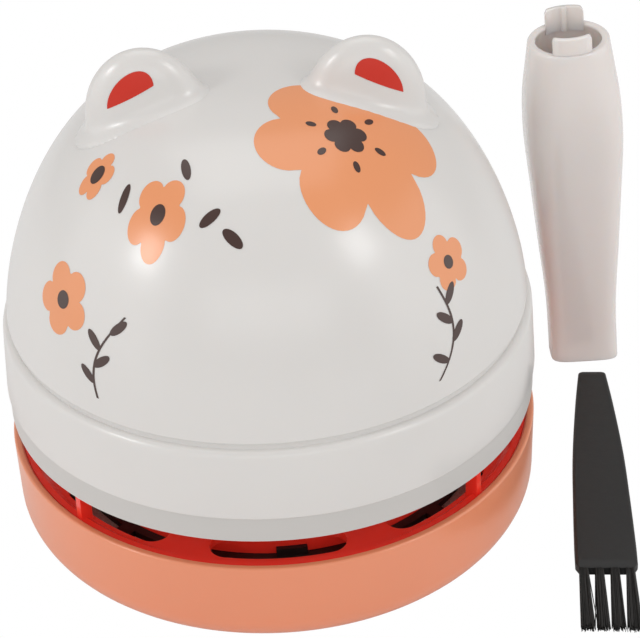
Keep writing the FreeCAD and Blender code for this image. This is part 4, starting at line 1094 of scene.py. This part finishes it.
def key_mesh(sign):
    """One curved key above the mouth, with rounded upper corners; the rear one has a thin rib inside."""
    columns = 24
    low = NOZZLE_LENGTH - KEY_ROOT
    top = NOZZLE_LENGTH + KEY_LENGTH
    inner = NOZZLE_MOUTH - NOZZLE_WALL
    half = KEY_WIDTH / 2
    vertices = []
    for column in range(columns + 1):
        x = -half + KEY_WIDTH * column / columns
        inset = max(abs(x) - (half - KEY_CORNER), 0.0)
        high = top - KEY_CORNER + math.sqrt(max(KEY_CORNER ** 2 - inset ** 2, 0.0))
        rib = KEY_RIB if sign > 0 and abs(x) < 0.5 * MM else 0.0
        for radius, height in ((KEY_RADIUS, low), (KEY_RADIUS, high - KEY_BEVEL),
                               (KEY_RADIUS - KEY_BEVEL, high), (inner + 0.15 * MM - rib, high),
                               (inner - rib, high - KEY_BEVEL), (inner - rib, low)):
            vertices.append((x, math.sqrt(max(radius ** 2 - x ** 2, 0.0)) * sign, height))
    faces = []
    for column in range(columns):
        for point in range(6):
            after = (point + 1) % 6
            faces.append((column * 6 + point, (column + 1) * 6 + point,
                          (column + 1) * 6 + after, column * 6 + after))
    faces.append(tuple(range(6)))
    faces.append(tuple(columns * 6 + point for point in range(6)))
    return mesh_of("key", vertices, faces)


def lay_brush(mesh):
    """Carry a mesh built along Y from the tufts' root to where the brush lies."""
    place = Matrix.Translation((*BRUSH_PLACE, GROUND))
    mesh.transform(place @ Matrix.Rotation(-BRUSH_TURN, 4, "Z"))


def handle_mesh():
    """The tapered flat handle, built in millimetres along Y."""
    vertices = []
    for level in range(HANDLE_LEVELS + 1):
        along = HANDLE_LENGTH * (level / HANDLE_LEVELS)
        half = smooth_between(HANDLE_TABLE, along)[0]
        end = min(along, HANDLE_LENGTH - along)
        depth = max(HANDLE_EDGE - end, 0.0)
        pinch = HANDLE_EDGE - math.sqrt(max(HANDLE_EDGE ** 2 - depth ** 2, 0.0))
        for x, z in rounded_bar(half - pinch, BRUSH_THICK / MM, HANDLE_EDGE, pinch, HANDLE_STEPS):
            vertices.append((x * MM, along * MM, z * MM))
    faces = ring_faces(HANDLE_LEVELS + 1, HANDLE_STEPS)
    faces.append(tuple(range(HANDLE_STEPS)))
    faces.append(tuple(HANDLE_LEVELS * HANDLE_STEPS + step for step in range(HANDLE_STEPS)))
    return mesh_of("handle_skin", vertices, faces)


class VACUUM_OT_brush(bpy.types.Operator):
    """Build the small brush: tapered handle and four flaring tufts"""

    bl_idname = "vacuum.brush"
    bl_label = "Cleaning brush"

    def execute(self, context):
        mesh = handle_mesh()
        lay_brush(mesh)
        handle = link("handle_skin", mesh, "brush_plastic", 50)
        finish_piece(handle, "brush_piece", "brush_plastic", "brush_handle")
        tufts = tuft_mesh()
        lay_brush(tufts)
        finish_piece(link("tuft_hairs", tufts, "brush_hair"), "brush_piece", "brush_hair", "brush_bristles")
        return {"FINISHED"}


def rounded_bar(half, thick, edge, pinch, steps):
    """A flat section with rounded corners, shrunk at the handle's ends by a pinch."""
    points = []
    quarter = steps // 4
    radius = max(edge - pinch, 0.08)
    high = thick - pinch * 0.9
    low = pinch * 0.2
    for index, (x, z) in enumerate(((half - radius, high - radius), (radius - half, high - radius),
                                    (radius - half, low + radius), (half - radius, low + radius))):
        for step in range(quarter):
            angle = math.pi / 2 * (index + step / (quarter - 1))
            points.append((x + radius * math.cos(angle), z + radius * math.sin(angle)))
    return points


def tuft_mesh():
    """Hairs of the four tufts, each a thin three-sided taper that spreads a little."""
    rng = random.Random(11)
    vertices = []
    faces = []
    pitch = 2 * BRUSH_END / TUFTS
    limit = BRUSH_END - 0.2 * MM
    for tuft in range(TUFTS):
        middle = pitch * (tuft - (TUFTS - 1) / 2)
        for _ in range(HAIRS_IN_TUFT):
            across = rng.uniform(-1, 1)
            up = rng.uniform(-1, 1)
            root = Vector((middle + across * 0.72 * MM, 0.4 * MM, BRUSH_THICK / 2 + up * 0.58 * MM))
            reach = TUFT_REACH - rng.uniform(0.0, 1.0) * TUFT_RAGGED
            stray = rng.gauss(0.0, 0.22) * MM
            tip_x = min(max(middle * 0.985 + across * 1.02 * MM + stray, -limit), limit)
            tip = Vector((tip_x, -reach, BRUSH_THICK / 2 + up * 0.62 * MM))
            start = len(vertices)
            for point, radius in ((root, 0.13 * MM), (root.lerp(tip, 0.5), 0.12 * MM), (tip, 0.07 * MM)):
                for corner in range(3):
                    angle = 2 * math.pi * corner / 3
                    vertices.append((point.x + radius * math.cos(angle), point.y,
                                     point.z + radius * math.sin(angle)))
            for level in range(2):
                base = start + level * 3
                for corner in range(3):
                    after = (corner + 1) % 3
                    faces.append((base + corner, base + after, base + 3 + after, base + 3 + corner))
            faces.append((start, start + 2, start + 1))
            faces.append((start + 6, start + 7, start + 8))
    return open_mesh("tuft_hairs", vertices, faces)


class VACUUM_OT_switch(bpy.types.Operator):
    """Build the rear slide switch's ribbed knob"""

    bl_idname = "vacuum.switch"
    bl_label = "Switch knob"

    def execute(self, context):
        turn = math.radians(SWITCH_AZIMUTH - 90)
        half = KNOB_SIZE[0] / 2
        low = KNOB_LEVEL - KNOB_SIZE[1] / 2
        high = KNOB_LEVEL + KNOB_SIZE[1] / 2
        parts = [
            block("pad", (KNOB_BACK, -half, low), (KNOB_FACE, half, high), turn, 0.5 * MM, 4),
            block("plate", (KNOB_BACK, -half - MM, low - MM), (KNOB_BACK + MM, half + MM, high + MM),
                  turn, 0.2 * MM),
            block("stem", (KNOB_BACK - 1.5 * MM, -MM, KNOB_LEVEL - MM),
                  (KNOB_BACK + 0.5 * MM, MM, KNOB_LEVEL + MM), turn),
        ]
        for number in range(3):
            level = KNOB_LEVEL + (number - 1) * RIB_PITCH
            parts.append(block("rib", (KNOB_FACE - 0.5 * MM, -half + 0.8 * MM, level - 0.25 * MM),
                               (KNOB_FACE + 0.4 * MM, half - 0.8 * MM, level + 0.25 * MM), turn, 0.15 * MM))
        mesh = merged("knob_skin", parts)
        finish_piece(link("knob_skin", mesh, "knob_plastic"), "switch", "knob_plastic", "switch_knob")
        return {"FINISHED"}


def soft_box(name, place, width, height, power):
    """A rectangular light that faces the object's middle."""
    data = bpy.data.lights.new(name, "AREA")
    data.shape = "RECTANGLE"
    data.size = width
    data.size_y = height
    data.energy = power
    item = add_object(name, data)
    item.location = place
    item.rotation_euler = (Vector(LIGHT_TARGET) - item.location).to_track_quat("-Z", "Y").to_euler()


def show_camera(tree, seen, lit, output):
    """Let the camera see one shader while the other one gives and takes the light."""
    ray = tree.nodes.new("ShaderNodeLightPath")
    mix = new_node(tree, "ShaderNodeMixShader", {"Fac": ray.outputs["Is Camera Ray"], 1: lit, 2: seen})
    feed(tree, tree.nodes[output], {"Surface": mix.outputs["Shader"]})


def paint_world():
    """White to the camera, and a softer white as light."""
    world = bpy.data.worlds.new("studio")
    bpy.context.scene.world = world
    world.use_nodes = True
    tree = world.node_tree
    sky = tree.nodes["Background"]
    feed(tree, sky, {"Color": SKY_COLOUR, "Strength": SKY_STRENGTH})
    white = new_node(tree, "ShaderNodeBackground", {"Color": WHITE, "Strength": 1.0})
    show_camera(tree, white.outputs["Background"], sky.outputs["Background"], "World Output")


def floor_material():
    """A floor that is plain white to the camera and pale to the light."""
    floor, tree, shader, _ = node_material("floor_white")
    feed(tree, shader, {"Base Color": (0.92, 0.92, 0.92, 1.0), "Roughness": 0.9})
    white = new_node(tree, "ShaderNodeEmission", {"Color": WHITE, "Strength": 1.0})
    show_camera(tree, white.outputs["Emission"], shader.outputs["BSDF"], "Material Output")
    return floor


class VACUUM_OT_stage(bpy.types.Operator):
    """Set the floor, the soft boxes and the camera"""

    bl_idname = "vacuum.stage"
    bl_label = "Floor, lights and camera"

    def execute(self, context):
        scene = context.scene
        half = FLOOR_HALF
        corners = ((-half, -half), (half, -half), (half, half), (-half, half))
        vertices = [(x, y, GROUND) for x, y in corners]
        mesh = open_mesh("floor", vertices, [(0, 1, 2, 3)])
        floor = add_object("floor", mesh)
        mesh.materials.append(floor_material())
        paint_world()
        for name, settings in SOFT_BOXES.items():
            soft_box(name, *settings)
        scene.view_settings.view_transform = "Standard"
        scene.view_settings.look = "None"
        data = bpy.data.cameras.new("photo_camera")
        data.lens = CAMERA_LENS
        data.sensor_width = CAMERA_SENSOR
        data.sensor_fit = "HORIZONTAL"
        data.clip_start = 0.01
        camera = add_object("photo_camera", data)
        turned = Matrix((CAMERA_RIGHT, CAMERA_UP, [-value for value in CAMERA_AHEAD])).transposed().to_4x4()
        camera.matrix_world = Matrix.Translation(CAMERA_PLACE) @ turned
        scene.camera = camera
        return {"FINISHED"}


class VACUUM_PT_panel(bpy.types.Panel):
    """Shows the settings and the pieces' operators in the sidebar."""

    bl_label = "Desk vacuum"
    bl_idname = "VACUUM_PT_panel"
    bl_space_type = "VIEW_3D"
    bl_region_type = "UI"
    bl_category = "Desk vacuum"

    def draw(self, context):
        settings = context.scene.vacuum_look
        for name in ("shell_colour", "lip_colour", "tray_colour", "deck_colour", "print_colour", "ink_colour",
                     "blossom_size", "round_steps"):
            self.layout.prop(settings, name)
        for operator in OPERATORS:
            self.layout.operator(operator.bl_idname)


OPERATORS = (VACUUM_OT_cad_looks, VACUUM_OT_shell, VACUUM_OT_prints, VACUUM_OT_tray, VACUUM_OT_feet,
             VACUUM_OT_screws, VACUUM_OT_nozzle, VACUUM_OT_brush, VACUUM_OT_switch, VACUUM_OT_stage)
CLASSES = (VacuumLook, *OPERATORS, VACUUM_PT_panel)


def register():
    """Add the classes and the scene's settings."""
    for cls in CLASSES:
        bpy.utils.register_class(cls)
    bpy.types.Scene.vacuum_look = PointerProperty(type=VacuumLook)


def unregister():
    """Take them away again."""
    del bpy.types.Scene.vacuum_look
    for cls in reversed(CLASSES):
        bpy.utils.unregister_class(cls)


def main():
    """Build every piece and the stage."""
    register()
    for operator in OPERATORS:
        group, name = operator.bl_idname.split(".")
        getattr(getattr(bpy.ops, group), name)()


if __name__ == "__main__":
    main()
